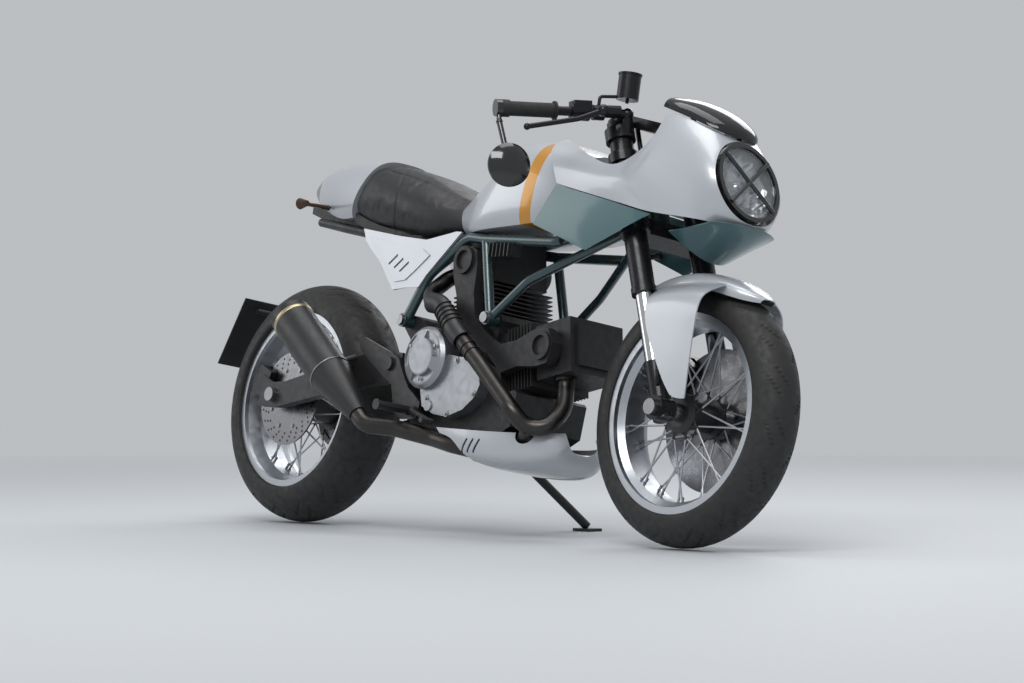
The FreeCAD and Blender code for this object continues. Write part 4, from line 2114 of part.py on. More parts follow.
def make_regulator():
    """A finned box that hangs on the right main tube."""
    middle = spot(s.regulator_ahead, -float(s.frame_half_width), s.regulator_height)
    fins = [block("regulator_box", middle, s.regulator_length, s.regulator_width, s.regulator_depth)]
    count = 6
    for index in range(count):
        along = float(s.regulator_length) * ((index + 0.5) / count - 0.5)
        fins.append(block(f"regulator_fin_{index}", middle + Vector(along, -float(s.regulator_width) / 2, 0),
                          s.panel_wall, s.regulator_width / 2, s.regulator_depth))
    keep("regulator", cut("regulator_body", fuse("regulator_whole", *fins), frame_shadow(s.seat_gap)))


make_indicators(next(thing for thing in kept if thing.Label == "seat_cowl"))
make_instrument()
make_regulator()


# Side plates, pegs and stand

plate_shares = [(0.0, 0.95), (0.08, 0.985), (0.45, 0.81), (0.59, 0.74), (0.68, 0.55), (0.78, 0.38),
                (0.86, 0.31), (0.96, 0.21), (0.93, 0.03), (0.72, 0.015), (0.62, 0.09), (0.54, 0.42),
                (0.41, 0.51), (0.07, 0.81)]
plate_boss_shares = [(0.738, 0.114), (0.897, 0.114)]
peg_share = 0.817
pedal_share = 0.897


def plate_face():
    """How far out the side plates' outer faces stand."""
    return s.swing_half_width + s.swing_arm_width + s.seat_gap + s.plate_thickness


def make_side_plates():
    """The footpeg plates, bossed to the crankcase, on the bolt that the swingarm turns on."""
    far = float(plate_face())
    plate_middle = far - float(s.plate_thickness) / 2
    outline = placed(plate_shares, s.plate_back, s.plate_base, s.plate_length, s.plate_height)
    pieces = []
    inner = float(s.case_half_width) + float(s.seat_gap)
    for side, name in ((-1, "right"), (1, "left")):
        pieces.append(side_plate(f"{name}_plate", [outline], side * plate_middle, s.plate_thickness))
        for index, (along, height) in enumerate(plate_boss_shares):
            foot = spot(s.plate_back + s.plate_length * along, side * inner, s.plate_base + s.plate_height * height)
            pieces.append(rod(f"{name}_plate_boss_{index}", foot, Vector(0, side, 0), s.plate_boss_radius,
                              far - inner - float(s.panel_wall)))
        pieces.append(rod(f"{name}_pivot_cap", swing_pivot + Vector(0, side * far, 0), Vector(0, side, 0),
                          s.mount_ring_radius, s.bolt_head))
    pieces.append(rod("pivot_bolt", swing_pivot - Vector(0, far + float(s.bolt_head), 0), Vector(0, 1, 0),
                      s.pivot_bolt_radius, 2 * (far + float(s.bolt_head))))
    keep("side_plates", fuse("side_plates_body", *pieces))


def make_pegs():
    """Both footpegs, the brake pedal on the right and the gear lever on the left."""
    far = float(plate_face()) + float(s.seat_gap)
    height = s.plate_base + s.plate_height * plate_boss_shares[0][1]
    pegs, levers = [], []
    for side, name in ((-1, "right"), (1, "left")):
        root = spot(s.plate_back + s.plate_length * peg_share, side * far, height)
        pegs.append(fuse(
            f"{name}_peg_whole",
            rod(f"{name}_peg", root, Vector(0, side, 0), s.peg_radius, s.peg_length),
            rod(f"{name}_peg_end", root + Vector(0, side * float(s.peg_length), 0), Vector(0, side, 0),
                s.peg_radius + s.overrun / 2, s.overrun),
        ))
        pivot = spot(s.plate_back + s.plate_length * pedal_share, side * far, height)
        bend = pivot + Vector(0, side * float(s.clamp_wall), 0)
        toe = spot(s.pedal_toe_ahead, side * float(s.pedal_toe_side), s.pedal_toe_height)
        levers.append(fuse(
            f"{name}_pedal_whole",
            rod(f"{name}_pedal_pivot", pivot, Vector(0, side, 0), s.peg_radius, s.clamp_wall),
            bar(f"{name}_pedal_arm", bend, toe, s.pedal_radius),
            rod(f"{name}_pedal_toe", toe - Vector(0, side * float(s.pedal_radius), 0), Vector(0, side, 0),
                s.pedal_radius + 1 * s.panel_wall / 3, s.pedal_toe_length),
        ))
    keep("footpegs", *pegs, *levers)


stand_pivot = spot(s.stand_pivot_ahead, s.stand_pivot_side, s.stand_pivot_height)


def make_stand():
    """The side stand, whose foot lies flat on the ground under the leaning bike, and its bracket."""
    level = parked.inverse()
    ground = level.multVec(spot(
        s.stand_foot_ahead - s.origin_ahead, s.stand_foot_side - s.origin_left, s.stand_tube_radius))
    leg_dir = (ground - stand_pivot).normalize()
    drop, out = math.radians(float(s.stand_stow_drop)), math.radians(float(s.stand_stow_out))
    folded = Vector(-math.cos(drop), math.sin(out), -math.sin(drop)).normalize()
    hinge = leg_dir.cross(folded).normalize()
    half = float(s.stand_eye_length) / 2
    leg = bar("stand_leg", stand_pivot + leg_dir * (2 * float(s.stand_pivot_radius) - float(s.overrun)), ground,
              s.stand_tube_radius)
    eye = rod("stand_eye", stand_pivot - hinge * half, hinge, 2 * s.stand_pivot_radius, s.stand_eye_length)
    pin_hole = rod("stand_hole", stand_pivot - hinge * float(s.stand_eye_length), hinge,
                   s.stand_pivot_radius + s.running_fit, 2 * s.stand_eye_length)
    foot = doc.addObject("Part::Box", "stand_foot")
    put(foot, Length=s.stand_foot_length, Width=s.stand_foot_width, Height=s.stand_foot_height)
    corner = spot(
        s.stand_foot_ahead - s.origin_ahead - s.stand_foot_length / 2,
        s.stand_foot_side - s.origin_left - s.stand_foot_width / 2, 0)
    foot.Placement = level.multiply(Placement(corner, Rotation()))
    keep("side_stand", cut("side_stand_body", fuse("stand_whole", leg, eye, foot), pin_hole))
    low_end = stand_pivot - hinge * (half + float(s.bolt_head))
    pin = rod("stand_pin", low_end, hinge, s.stand_pivot_radius,
              s.stand_eye_length + s.bolt_head + s.stand_ear_thickness)
    top = stand_pivot + hinge * (half + float(s.seat_gap))
    ear = rod("stand_ear", top, hinge, 2 * s.stand_pivot_radius - s.panel_wall / 3, s.stand_ear_thickness)
    wall = spot(stand_pivot.x, s.case_half_width + s.seat_gap, stand_pivot.z + float(s.stand_bracket_rise))
    middle = top + hinge * (float(s.stand_ear_thickness) / 2)
    arm = bar("stand_arm", wall + Vector(0, float(s.clamp_wall) / 2, 0), middle, s.stand_arm_radius)
    boss = rod("stand_boss", wall, Vector(0, 1, 0), s.plate_boss_radius, s.clamp_wall)
    keep("stand_bracket", fuse("stand_bracket_body", pin, ear, arm, boss))


def make_shock():
    """The shock absorber on the left, between a bolt on the swingarm and a bolt on the seat rail's stay."""
    low = spot(s.shock_low_ahead, s.shock_side, s.shock_low_height)
    high = spot(s.shock_high_ahead, s.shock_side, s.shock_high_height)
    along = Vector(high - low).normalize()
    length = (high - low).Length
    eye_half = s.shock_eye_length / 2
    pieces = [bar("shock_body", low, high, s.shock_body_radius)]
    for name, end in (("low", low), ("high", high)):
        start = end - Vector(0, float(eye_half), 0)
        pieces.append(rod(f"shock_{name}_eye", start, Vector(0, 1, 0), s.shock_body_radius + s.panel_wall,
                          s.shock_eye_length))
    clear = float(s.shock_wire_radius + s.seat_gap)
    first, last = (low + along * (share * length) for share in shock_spring_shares)
    start = first + along * clear
    run = Size((last - first).Length - 2 * clear, str((last - first).Length - 2 * clear))
    coil = doc.addObject("Part::Helix", "shock_coil_line")
    put(coil, Pitch=run / shock_turns, Height=run, Radius=s.shock_coil_radius)
    coil.Placement = towards(start, along)
    wire = doc.addObject("Part::Circle", "shock_wire")
    put(wire, Radius=s.shock_wire_radius)
    wire.Placement = coil.Placement.multiply(towards(Vector(float(s.shock_coil_radius), 0, 0), Vector(0, 1, 0)))
    spring = doc.addObject("Part::Sweep", "shock_spring")
    spring.Sections = [wire]
    spring.Spine = (coil, ["Edge1"])
    spring.Solid = True
    spring.Frenet = True
    for name, foot, away in (("low", first, -along), ("high", last, along)):
        pieces.append(rod(f"shock_{name}_cup", foot, away, s.shock_coil_radius + s.shock_wire_radius / 3,
                          2 * s.shock_wire_radius))
    arm_face = float(s.swing_half_width) + float(s.swing_arm_width) + float(s.seat_gap)
    pieces.append(rod("shock_low_bolt", spot(low.x, arm_face, low.z), Vector(0, 1, 0), s.shock_bolt_radius,
                      low.y + float(eye_half) + float(s.bolt_head) - arm_face))
    rail, knee = rail_points(1)[1], trellis(1, "knee")
    share = (high.x - rail.x) / (knee.x - rail.x)
    inner = rail + (knee - rail) * share
    pieces.append(rod("shock_high_bolt", spot(high.x, inner.y, high.z), Vector(0, 1, 0), s.shock_bolt_radius,
                      high.y + float(eye_half) + float(s.bolt_head) - inner.y))
    joined = fuse("shock_pieces", *pieces)
    joined.Refine = False
    whole = cut("shock_whole", joined, bar("stay_shadow", rail, knee, s.brace_tube_radius + s.seat_gap))
    whole.Refine = False
    keep("shock", whole, spring)


shock_spring_shares = (0.26, 0.84)
shock_turns = 7

make_side_plates()
make_pegs()
make_stand()
make_shock()


# Belly pan and side covers

pan_shares = [
    [(0.0, 1.0, 0.93), (0.09, 1.0, 0.62), (0.2, 0.93, 0.36), (0.22, 0.5, 0.26), (0.22, 0.0, 0.24)],
    [(0.2, 1.0, 0.9), (0.25, 1.0, 0.45), (0.3, 0.93, 0.16), (0.3, 0.5, 0.08), (0.3, 0.0, 0.06)],
    [(0.5, 0.96, 0.86), (0.52, 0.98, 0.4), (0.55, 0.88, 0.06), (0.55, 0.5, 0.0), (0.55, 0.0, 0.0)],
    [(0.8, 0.8, 0.88), (0.82, 0.82, 0.45), (0.83, 0.72, 0.1), (0.82, 0.4, 0.06), (0.82, 0.0, 0.05)],
    [(0.95, 0.5, 0.95), (0.99, 0.5, 0.62), (0.98, 0.42, 0.36), (0.96, 0.22, 0.3), (0.96, 0.0, 0.3)],
    [(0.96, 0.3, 1.0), (1.0, 0.3, 0.8), (1.0, 0.25, 0.62), (0.99, 0.12, 0.56), (0.98, 0.0, 0.56)],
]
pan_slot_shares = [(0.3, 0.5), (0.36, 0.5), (0.42, 0.5)]
pan_post_share = 0.37
cover_shares = [(0.0, 0.99), (0.04, 0.8), (0.095, 0.68), (0.22, 0.45), (0.38, 0.02), (0.51, 0.05),
                (0.64, 0.05), (0.7, 0.22), (1.0, 0.85), (0.95, 0.86), (0.66, 0.76), (0.39, 0.84)]
ridge_shares = [(0.1, 0.86), (0.24, 0.56), (0.4, 0.14), (0.5, 0.16), (0.58, 0.28), (0.72, 0.52), (0.64, 0.62),
                (0.38, 0.7)]
cover_slot_shares = [(0.36, 0.48), (0.42, 0.42), (0.48, 0.36)]


def make_pan():
    """The belly pan, open above, with gills in its sides and room for the duct and the side stand."""
    rows = [
        whole_row([spot(s.pan_back + s.pan_length * x, -s.pan_half_width * y, s.pan_base + s.pan_height * z)
                   for x, y, z in row])
        for row in pan_shares
    ]
    shell = shape("pan_shell", shell_panel(rows, s.panel_wall))
    gap = s.pan_gap
    tools = [tube("duct_room", duct_points(), s.duct_radius + gap, s.pipe_bend),
             tube("link_room", bike_points(link_shares), s.link_radius + gap, s.pipe_bend),
             collector_block("collector_room", gap)]
    room = spot(s.stand_pivot_ahead, s.case_half_width + s.pan_half_width / 2, s.pan_base + s.pan_height / 2)
    tools.append(block("stand_room", room, s.stand_room_length, s.pan_half_width, 3 * s.pan_height))
    turn = Rotation(Vector(0, 1, 0), float(s.slot_tilt))
    for index, (along, up) in enumerate(pan_slot_shares):
        place = spot(s.pan_back + s.pan_length * along, -s.pan_half_width, s.pan_base + s.pan_height * up)
        tools.append(block(f"pan_slot_{index}", place, s.slot_height, s.pan_half_width / 3, s.slot_length, turn))
    pan = keep("belly_pan", cut("belly_pan_body", shell, *tools))
    posts = []
    for side, name in ((-1, "right"), (1, "left")):
        foot = spot(s.pan_back + s.pan_length * pan_post_share, side * float(s.case_half_width + s.seat_gap),
                    s.case_base + s.pan_height / 4)
        posts.append(stay(f"{name}_pan_post", foot, Vector(0, side, 0), [pan], s.clamp_wall))
    room = block("case_room", spot(s.crank_ahead, 0, s.case_base), 2 * s.case_length,
                 2 * (s.case_half_width + s.seat_gap), 2 * s.case_height)
    keep("engine_bolts", make_engine_bolts(), cut("pan_posts_body", fuse("pan_posts_whole", *posts), room))


def make_side_covers():
    """The panel below the seat on each side: a plate with a raised field and three slanted gills."""
    outline = placed(cover_shares, s.cover_back, s.cover_base, s.cover_length, s.cover_height)
    field = placed(ridge_shares, s.cover_back, s.cover_base, s.cover_length, s.cover_height)
    inner = float(s.frame_half_width) + float(s.frame_tube_radius) + float(s.seat_gap)
    covers = []
    for side, name in ((-1, "right"), (1, "left")):
        middle = inner + float(s.cover_depth) / 2
        plate = side_plate(f"{name}_cover_plate", [outline], side * middle, s.cover_depth)
        raised = side_plate(f"{name}_cover_field", [field], side * (middle + float(s.panel_wall)), s.cover_depth)
        slots = []
        for index, (along, up) in enumerate(cover_slot_shares):
            place = spot(s.cover_back + s.cover_length * along, side * middle, s.cover_base + s.cover_height * up)
            slots.append(block(f"{name}_cover_slot_{index}", place, s.slot_length, 4 * s.cover_depth,
                               s.slot_height, Rotation(Vector(0, 1, 0), -float(s.slot_tilt))))
        if side > 0:
            bolt = spot(s.shock_high_ahead, s.frame_half_width, s.shock_high_height)
            slots.append(rod("shock_bolt_room", bolt, Vector(0, 1, 0), s.shock_bolt_radius + s.overrun / 2,
                             s.frame_half_width))
        covers.append(cut(f"{name}_cover", fuse(f"{name}_cover_whole", plate, raised), *slots))
    keep("side_covers", *covers)


make_pan()
make_side_covers()


# Number plate holder

def make_plate_holder():
    """A bent tube from a foot beside the rear axle up to a blank plate behind the wheel."""
    face = float(s.swing_half_width) + float(s.swing_arm_width) + float(s.seat_gap)
    foot = spot(-float(s.holder_foot_back), face + float(s.clamp_wall) / 2, s.rear_tyre_radius)
    start = foot + Vector(0, float(s.clamp_wall), 0)
    low = spot(s.holder_low_ahead, start.y, s.holder_low_height)
    corner = spot(s.holder_back, start.y, s.holder_height)
    end = spot(s.holder_back, -float(s.number_plate_width) / 4, s.holder_height)
    tilt = math.radians(float(s.number_plate_tilt))
    normal = Vector(-math.cos(tilt), 0, math.sin(tilt))
    down = Vector(-math.sin(tilt), 0, -math.cos(tilt))
    top = spot(s.holder_back, 0, s.holder_height) + normal * (float(s.brace_tube_radius) - float(s.panel_wall) / 3)
    middle = top + down * (float(s.number_plate_height) / 2 - float(s.number_plate_rise))
    turn = Rotation(Vector(0, 1, 0), float(s.number_plate_tilt))
    plate = block("plate_blank", middle, s.panel_wall, s.number_plate_width, s.number_plate_height, turn)
    pieces = [
        block("holder_foot", foot, 3 * s.clamp_wall, s.clamp_wall, 5 * s.clamp_wall),
        tube("holder_arm", [start, low, corner, end], s.holder_radius, s.tube_bend),
        plate,
    ]
    keep("plate_holder", fuse("plate_holder_body", *pieces))


make_plate_holder()


# Check and export

def finish():
    doc.recompute()
    for thing in doc.Objects:
        if "Invalid" in thing.State or "Error" in thing.State:
            raise RuntimeError(f"{thing.Label} did not build: {thing.State}")
    os.makedirs("parts", exist_ok=True)
    for thing in kept:
        solid = thing.Shape
        if solid.isNull() or not solid.isValid() or not solid.Solids:
            raise RuntimeError(f"{thing.Label} is not a sound solid")
        solid.exportStep(os.path.join("parts", thing.Label + ".step"))
        print(f"{thing.Label:22s} {len(solid.Solids)} solids, {solid.Volume / 1000:9.1f} cm3")


finish()
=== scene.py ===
"""A cafe racer motorcycle, parked on its side stand on a pale studio floor."""
import math

import bpy
from mathutils import Matrix, Vector


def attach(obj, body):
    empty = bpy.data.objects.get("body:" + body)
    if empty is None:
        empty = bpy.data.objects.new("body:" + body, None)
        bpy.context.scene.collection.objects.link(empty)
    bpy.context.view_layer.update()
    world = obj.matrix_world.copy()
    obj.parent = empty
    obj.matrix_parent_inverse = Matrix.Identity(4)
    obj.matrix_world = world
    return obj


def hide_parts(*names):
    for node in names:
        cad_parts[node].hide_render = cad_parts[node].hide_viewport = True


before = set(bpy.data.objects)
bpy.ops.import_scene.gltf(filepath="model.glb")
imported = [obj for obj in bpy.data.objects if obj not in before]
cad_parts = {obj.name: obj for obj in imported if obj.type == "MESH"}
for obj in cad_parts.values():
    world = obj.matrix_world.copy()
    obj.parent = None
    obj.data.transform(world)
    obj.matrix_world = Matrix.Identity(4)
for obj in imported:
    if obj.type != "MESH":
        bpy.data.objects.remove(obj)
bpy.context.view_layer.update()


# Axles and through-bolts: turned steel spindles with hex heads, zinc plated and wiped clean. The
# finish has a slightly cloudy colour, a fine brushed grain and faint smudges from hands and tools.

PATCH_DETAIL, SMUDGE_DETAIL, GRAIN_DETAIL = 5, 7, 3
SMUDGE_LOW, SMUDGE_HIGH = 0.3, 0.7


def add_sockets(tree, way, *sockets):
    """Adds sockets to a node group, each as its name, its kind and, if it has one, its value."""
    for name, kind, *value in sockets:
        socket = tree.interface.new_socket(name=name, in_out=way, socket_type=f"NodeSocket{kind}")
        if value:
            socket.default_value = value[0]


def add_nodes(tree, *kinds):
    return [tree.nodes.new(kind) for kind in kinds]


def set_inputs(node, values):
    for name, value in values.items():
        node.inputs[name].default_value = value


def join(tree, *pairs):
    for source, target in pairs:
        tree.links.new(source, target)


def make_cloudy():
    """A node group: a colour that drifts to a second one in patches, and an uneven roughness."""
    tree = bpy.data.node_groups.new("cloudy_finish", "ShaderNodeTree")
    add_sockets(tree, "INPUT",
                ("Colour", "Color", (0.5, 0.5, 0.5, 1)),
                ("Patch colour", "Color", (0.4, 0.4, 0.4, 1)),
                ("Patch amount", "Float", 0.5), ("Patch scale", "Float", 9.0),
                ("Smudge scale", "Float", 60.0), ("Smooth", "Float", 0.3), ("Dull", "Float", 0.45))
    add_sockets(tree, "OUTPUT", ("Colour", "Color"), ("Roughness", "Float"))
    inside, outside, place, patch, smudge, drift, mix, spread = add_nodes(
        tree, "NodeGroupInput", "NodeGroupOutput", "ShaderNodeTexCoord", "ShaderNodeTexNoise",
        "ShaderNodeTexNoise", "ShaderNodeMath", "ShaderNodeMix", "ShaderNodeMapRange")
    drift.operation, mix.data_type = "MULTIPLY", "RGBA"
    set_inputs(patch, {"Detail": PATCH_DETAIL})
    set_inputs(smudge, {"Detail": SMUDGE_DETAIL})
    set_inputs(spread, {"From Min": SMUDGE_LOW, "From Max": SMUDGE_HIGH})
    join(tree,
         (place.outputs["Object"], patch.inputs["Vector"]),
         (place.outputs["Object"], smudge.inputs["Vector"]),
         (inside.outputs["Patch scale"], patch.inputs["Scale"]),
         (inside.outputs["Smudge scale"], smudge.inputs["Scale"]),
         (patch.outputs["Fac"], drift.inputs[0]),
         (inside.outputs["Patch amount"], drift.inputs[1]),
         (drift.outputs[0], mix.inputs["Factor"]),
         (inside.outputs["Colour"], mix.inputs["A"]),
         (inside.outputs["Patch colour"], mix.inputs["B"]),
         (mix.outputs["Result"], outside.inputs["Colour"]),
         (smudge.outputs["Fac"], spread.inputs["Value"]),
         (inside.outputs["Smooth"], spread.inputs["To Min"]),
         (inside.outputs["Dull"], spread.inputs["To Max"]),
         (spread.outputs["Result"], outside.inputs["Roughness"]))
    return tree


def make_relief():
    """A node group: a bump of fine grains, stretched along one axis where it is wanted."""
    tree = bpy.data.node_groups.new("fine_relief", "ShaderNodeTree")
    add_sockets(tree, "INPUT", ("Grain size", "Vector", (900, 900, 900)),
                ("Strength", "Float", 0.1), ("Depth", "Float", 0.0004))
    add_sockets(tree, "OUTPUT", ("Normal", "Vector"))
    inside, outside, place, stretch, grain, bump = add_nodes(
        tree, "NodeGroupInput", "NodeGroupOutput", "ShaderNodeTexCoord", "ShaderNodeVectorMath",
        "ShaderNodeTexNoise", "ShaderNodeBump")
    stretch.operation = "MULTIPLY"
    set_inputs(grain, {"Scale": 1, "Detail": GRAIN_DETAIL})
    join(tree,
         (place.outputs["Object"], stretch.inputs[0]),
         (inside.outputs["Grain size"], stretch.inputs[1]),
         (stretch.outputs[0], grain.inputs["Vector"]),
         (grain.outputs["Fac"], bump.inputs["Height"]),
         (inside.outputs["Strength"], bump.inputs["Strength"]),
         (inside.outputs["Depth"], bump.inputs["Distance"]),
         (bump.outputs["Normal"], outside.inputs["Normal"]))
    return tree


cloudy_finish, fine_relief = make_cloudy(), make_relief()


def plain_material(name):
    """A new material, its tree and its one shader."""
    material = bpy.data.materials.new(name)
    material.use_nodes = True
    return material, material.node_tree, material.node_tree.nodes["Principled BSDF"]


def add_group(tree, group, values):
    node = tree.nodes.new("ShaderNodeGroup")
    node.node_tree = group
    set_inputs(node, values)
    return node


def finish(name, colour, patch, rough, metal=0.0, amount=0.5, patch_scale=9.0, smudge_scale=60.0,
           grain=(900, 900, 900), relief=0.08, depth=0.0004, **sockets):
    """A material: one shader with a cloudy colour, an uneven roughness and a fine relief."""
    material, tree, shader = plain_material(name)
    set_inputs(shader, {"Metallic": metal})
    set_inputs(shader, {socket.replace("_", " "): value for socket, value in sockets.items()})
    cloud = add_group(tree, cloudy_finish, {
        "Colour": (*colour, 1), "Patch colour": (*patch, 1), "Patch amount": amount,
        "Patch scale": patch_scale, "Smudge scale": smudge_scale,
        "Smooth": rough[0], "Dull": rough[1]})
    bump = add_group(tree, fine_relief, {"Grain size": grain, "Strength": relief, "Depth": depth})
    join(tree,
         (cloud.outputs["Colour"], shader.inputs["Base Color"]),
         (cloud.outputs["Roughness"], shader.inputs["Roughness"]),
         (bump.outputs["Normal"], shader.inputs["Normal"]))
    return material


def dress(material, *names):
    """Gives built pieces their finish."""
    for name in names:
        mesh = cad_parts[name].data
        mesh.materials.clear()
        mesh.materials.append(material)


plated_steel = finish("plated_steel", (0.3, 0.3, 0.31), (0.2, 0.2, 0.21), (0.24, 0.42), metal=1.0,
                      grain=(2600, 300, 2600))
dress(plated_steel, "front_axle", "rear_axle", "engine_bolts", "front_sprocket")


# Wheels: spun aluminium rims laced with steel spokes to black cast hubs, each spoke pulled up by a
# plated nipple. The rims are anodised satin silver, with a fine lathe grain that runs round them.

rim_silver = finish("rim_silver", (0.44, 0.46, 0.49), (0.38, 0.4, 0.43), (0.28, 0.4), metal=1.0,
                    grain=(1800, 300, 1800), relief=0.05)
hub_black = finish("hub_black", (0.015, 0.0155, 0.017), (0.03, 0.03, 0.032), (0.32, 0.5),
                   metal=0.3)
dress(rim_silver, "front_rim", "rear_rim")

MILLIMETRES = 1000
LEAN = math.radians(9.72)
CONTACT = Vector((-0.693, -0.135, 0.0013))
RIGHT = Vector((0, -math.cos(LEAN), math.sin(LEAN)))
WHEELS = {
    "rear": {"axle": (0, 315), "radius": 315, "half_width": 85, "crown": 78, "rim": 230,
             "bead": 72, "grooves": 17, "hub": 78},
    "front": {"axle": (1436, 300), "radius": 300, "half_width": 61, "crown": 62, "rim": 228,
              "bead": 53.5, "grooves": 16, "hub": 62},
}
SPOKES = 36
SPOKE_STEEL = (0.46, 0.47, 0.49, 1)
SPOKE_REACH = 3.2 * 2 * math.pi / SPOKES
NIPPLE_INSET, NIPPLE_SIDE = 30, 15
FLANGE_SIDES = 14


def on_bike(ahead, left, up):
    """The place of a point in millimetres ahead of the rear contact, left of the middle and up."""
    side, high = left / MILLIMETRES, up / MILLIMETRES
    return CONTACT + Vector((ahead / MILLIMETRES, side * math.cos(LEAN) + high * math.sin(LEAN),
                             high * math.cos(LEAN) - side * math.sin(LEAN)))


def on_circle(centre, reach, angle, left):
    """The place of a point at a reach and an angle round a centre in the bike's side view."""
    return on_bike(centre[0] + reach * math.cos(angle), left, centre[1] + reach * math.sin(angle))


def overlaid(base, name, colour):
    """A copy of a material with a second colour laid over it, and the socket of its mask."""
    material = base.copy()
    material.name = name
    tree = material.node_tree
    shader = tree.nodes["Principled BSDF"]
    mix = tree.nodes.new("ShaderNodeMix")
    mix.data_type = "RGBA"
    set_inputs(mix, {"B": colour})
    join(tree,
         (shader.inputs["Base Color"].links[0].from_socket, mix.inputs["A"]),
         (mix.outputs["Result"], shader.inputs["Base Color"]))
    return material, tree, shader, mix.inputs["Factor"]


def laced_hub(end, wheel):
    """The hub's black paint, with the bare steel of the spokes from its flanges outwards."""
    material, tree, shader, mask = overlaid(hub_black, f"{end}_laced_hub", SPOKE_STEEL)
    place, offset, cross, reach, beyond = add_nodes(
        tree, "ShaderNodeTexCoord", "ShaderNodeVectorMath", "ShaderNodeVectorMath",
        "ShaderNodeVectorMath", "ShaderNodeMath")
    offset.operation, cross.operation, reach.operation = "SUBTRACT", "CROSS_PRODUCT", "LENGTH"
    beyond.operation = "GREATER_THAN"
    offset.inputs[1].default_value = on_bike(wheel["axle"][0], 0, wheel["axle"][1])
    cross.inputs[1].default_value = RIGHT
    beyond.inputs[1].default_value = wheel["hub"] / MILLIMETRES
    join(tree,
         (place.outputs["Object"], offset.inputs[0]), (offset.outputs[0], cross.inputs[0]),
         (cross.outputs[0], reach.inputs[0]), (reach.outputs["Value"], beyond.inputs[0]),
         (beyond.outputs[0], mask), (beyond.outputs[0], shader.inputs["Metallic"]))
    return material


def studs_tree():
    """Geometry nodes: a flanged head on each point, turned to the point's own direction."""
    tree = bpy.data.node_groups.new("flanged_heads", "GeometryNodeTree")
    add_sockets(tree, "INPUT", ("Geometry", "Geometry"), ("Head radius", "Float", 0.005),
                ("Head height", "Float", 0.005), ("Flange radius", "Float", 0.007),
                ("Flange height", "Float", 0.0015), ("Corners", "Int", 6),
                ("Material", "Material"))
    add_sockets(tree, "OUTPUT", ("Geometry", "Geometry"))
    inside, outside, head, flange, half, lift, lifted, both = add_nodes(
        tree, "NodeGroupInput", "NodeGroupOutput", "GeometryNodeMeshCylinder",
        "GeometryNodeMeshCylinder", "ShaderNodeMath", "ShaderNodeCombineXYZ",
        "GeometryNodeTransform", "GeometryNodeJoinGeometry")
    facing, turn, spread, real, paint = add_nodes(
        tree, "GeometryNodeInputNamedAttribute", "FunctionNodeAlignRotationToVector",
        "GeometryNodeInstanceOnPoints", "GeometryNodeRealizeInstances", "GeometryNodeSetMaterial")
    half.operation, facing.data_type, turn.axis = "DIVIDE", "FLOAT_VECTOR", "Z"
    half.inputs[1].default_value = 2
    set_inputs(flange, {"Vertices": FLANGE_SIDES})
    set_inputs(facing, {"Name": "facing"})
    join(tree,
         (inside.outputs["Corners"], head.inputs["Vertices"]),
         (inside.outputs["Head radius"], head.inputs["Radius"]),
         (inside.outputs["Head height"], head.inputs["Depth"]),
         (inside.outputs["Flange radius"], flange.inputs["Radius"]),
         (inside.outputs["Flange height"], flange.inputs["Depth"]),
         (inside.outputs["Head height"], half.inputs[0]),
         (half.outputs[0], lift.inputs["Z"]),
         (lift.outputs[0], lifted.inputs["Translation"]),
         (head.outputs["Mesh"], lifted.inputs["Geometry"]),
         (lifted.outputs[0], both.inputs[0]),
         (flange.outputs["Mesh"], both.inputs[0]),
         (inside.outputs["Geometry"], spread.inputs["Points"]),
         (both.outputs[0], spread.inputs["Instance"]),
         (facing.outputs["Attribute"], turn.inputs["Vector"]),
         (turn.outputs[0], spread.inputs["Rotation"]),
         (spread.outputs[0], real.inputs[0]),
         (real.outputs[0], paint.inputs["Geometry"]),
         (inside.outputs["Material"], paint.inputs["Material"]),
         (paint.outputs[0], outside.inputs["Geometry"]))
    return tree


flanged_heads = studs_tree()


def add_object(name, data):
    holder = bpy.data.objects.new(name, data)
    bpy.context.scene.collection.objects.link(holder)
    return holder


def finished_mesh(holder):
    """The plain mesh that an object's modifiers make."""
    depsgraph = bpy.context.evaluated_depsgraph_get()
    return bpy.data.meshes.new_from_object(holder.evaluated_get(depsgraph))


def grown(seed, tree, values):
    """The plain mesh that a geometry nodes tree makes from a seed mesh."""
    holder = add_object("seed", seed)
    modifier = holder.modifiers.new("nodes", "NODES")
    modifier.node_group = tree
    for item in tree.interface.items_tree:
        if item.item_type == "SOCKET" and item.in_out == "INPUT" and item.name in values:
            modifier[item.identifier] = values[item.name]
    mesh = finished_mesh(holder)
    bpy.data.objects.remove(holder)
    return mesh


def studs(name, places, body, material, head, flange, corners=6):
    """Heads of bolts or nipples at (place, direction) pairs, as one mesh on one body. A head and
    a flange are each a radius and a height in millimetres."""
    seed = bpy.data.meshes.new(name)
    seed.from_pydata([place for place, _ in places], [], [])
    facing = seed.attributes.new("facing", "FLOAT_VECTOR", "POINT")
    facing.data.foreach_set("vector", [value for _, way in places for value in way])
    piece = add_object(name, grown(seed, flanged_heads, {
        "Head radius": head[0] / MILLIMETRES, "Head height": head[1] / MILLIMETRES,
        "Flange radius": flange[0] / MILLIMETRES, "Flange height": flange[1] / MILLIMETRES,
        "Corners": corners, "Material": material}))
    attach(piece, body)


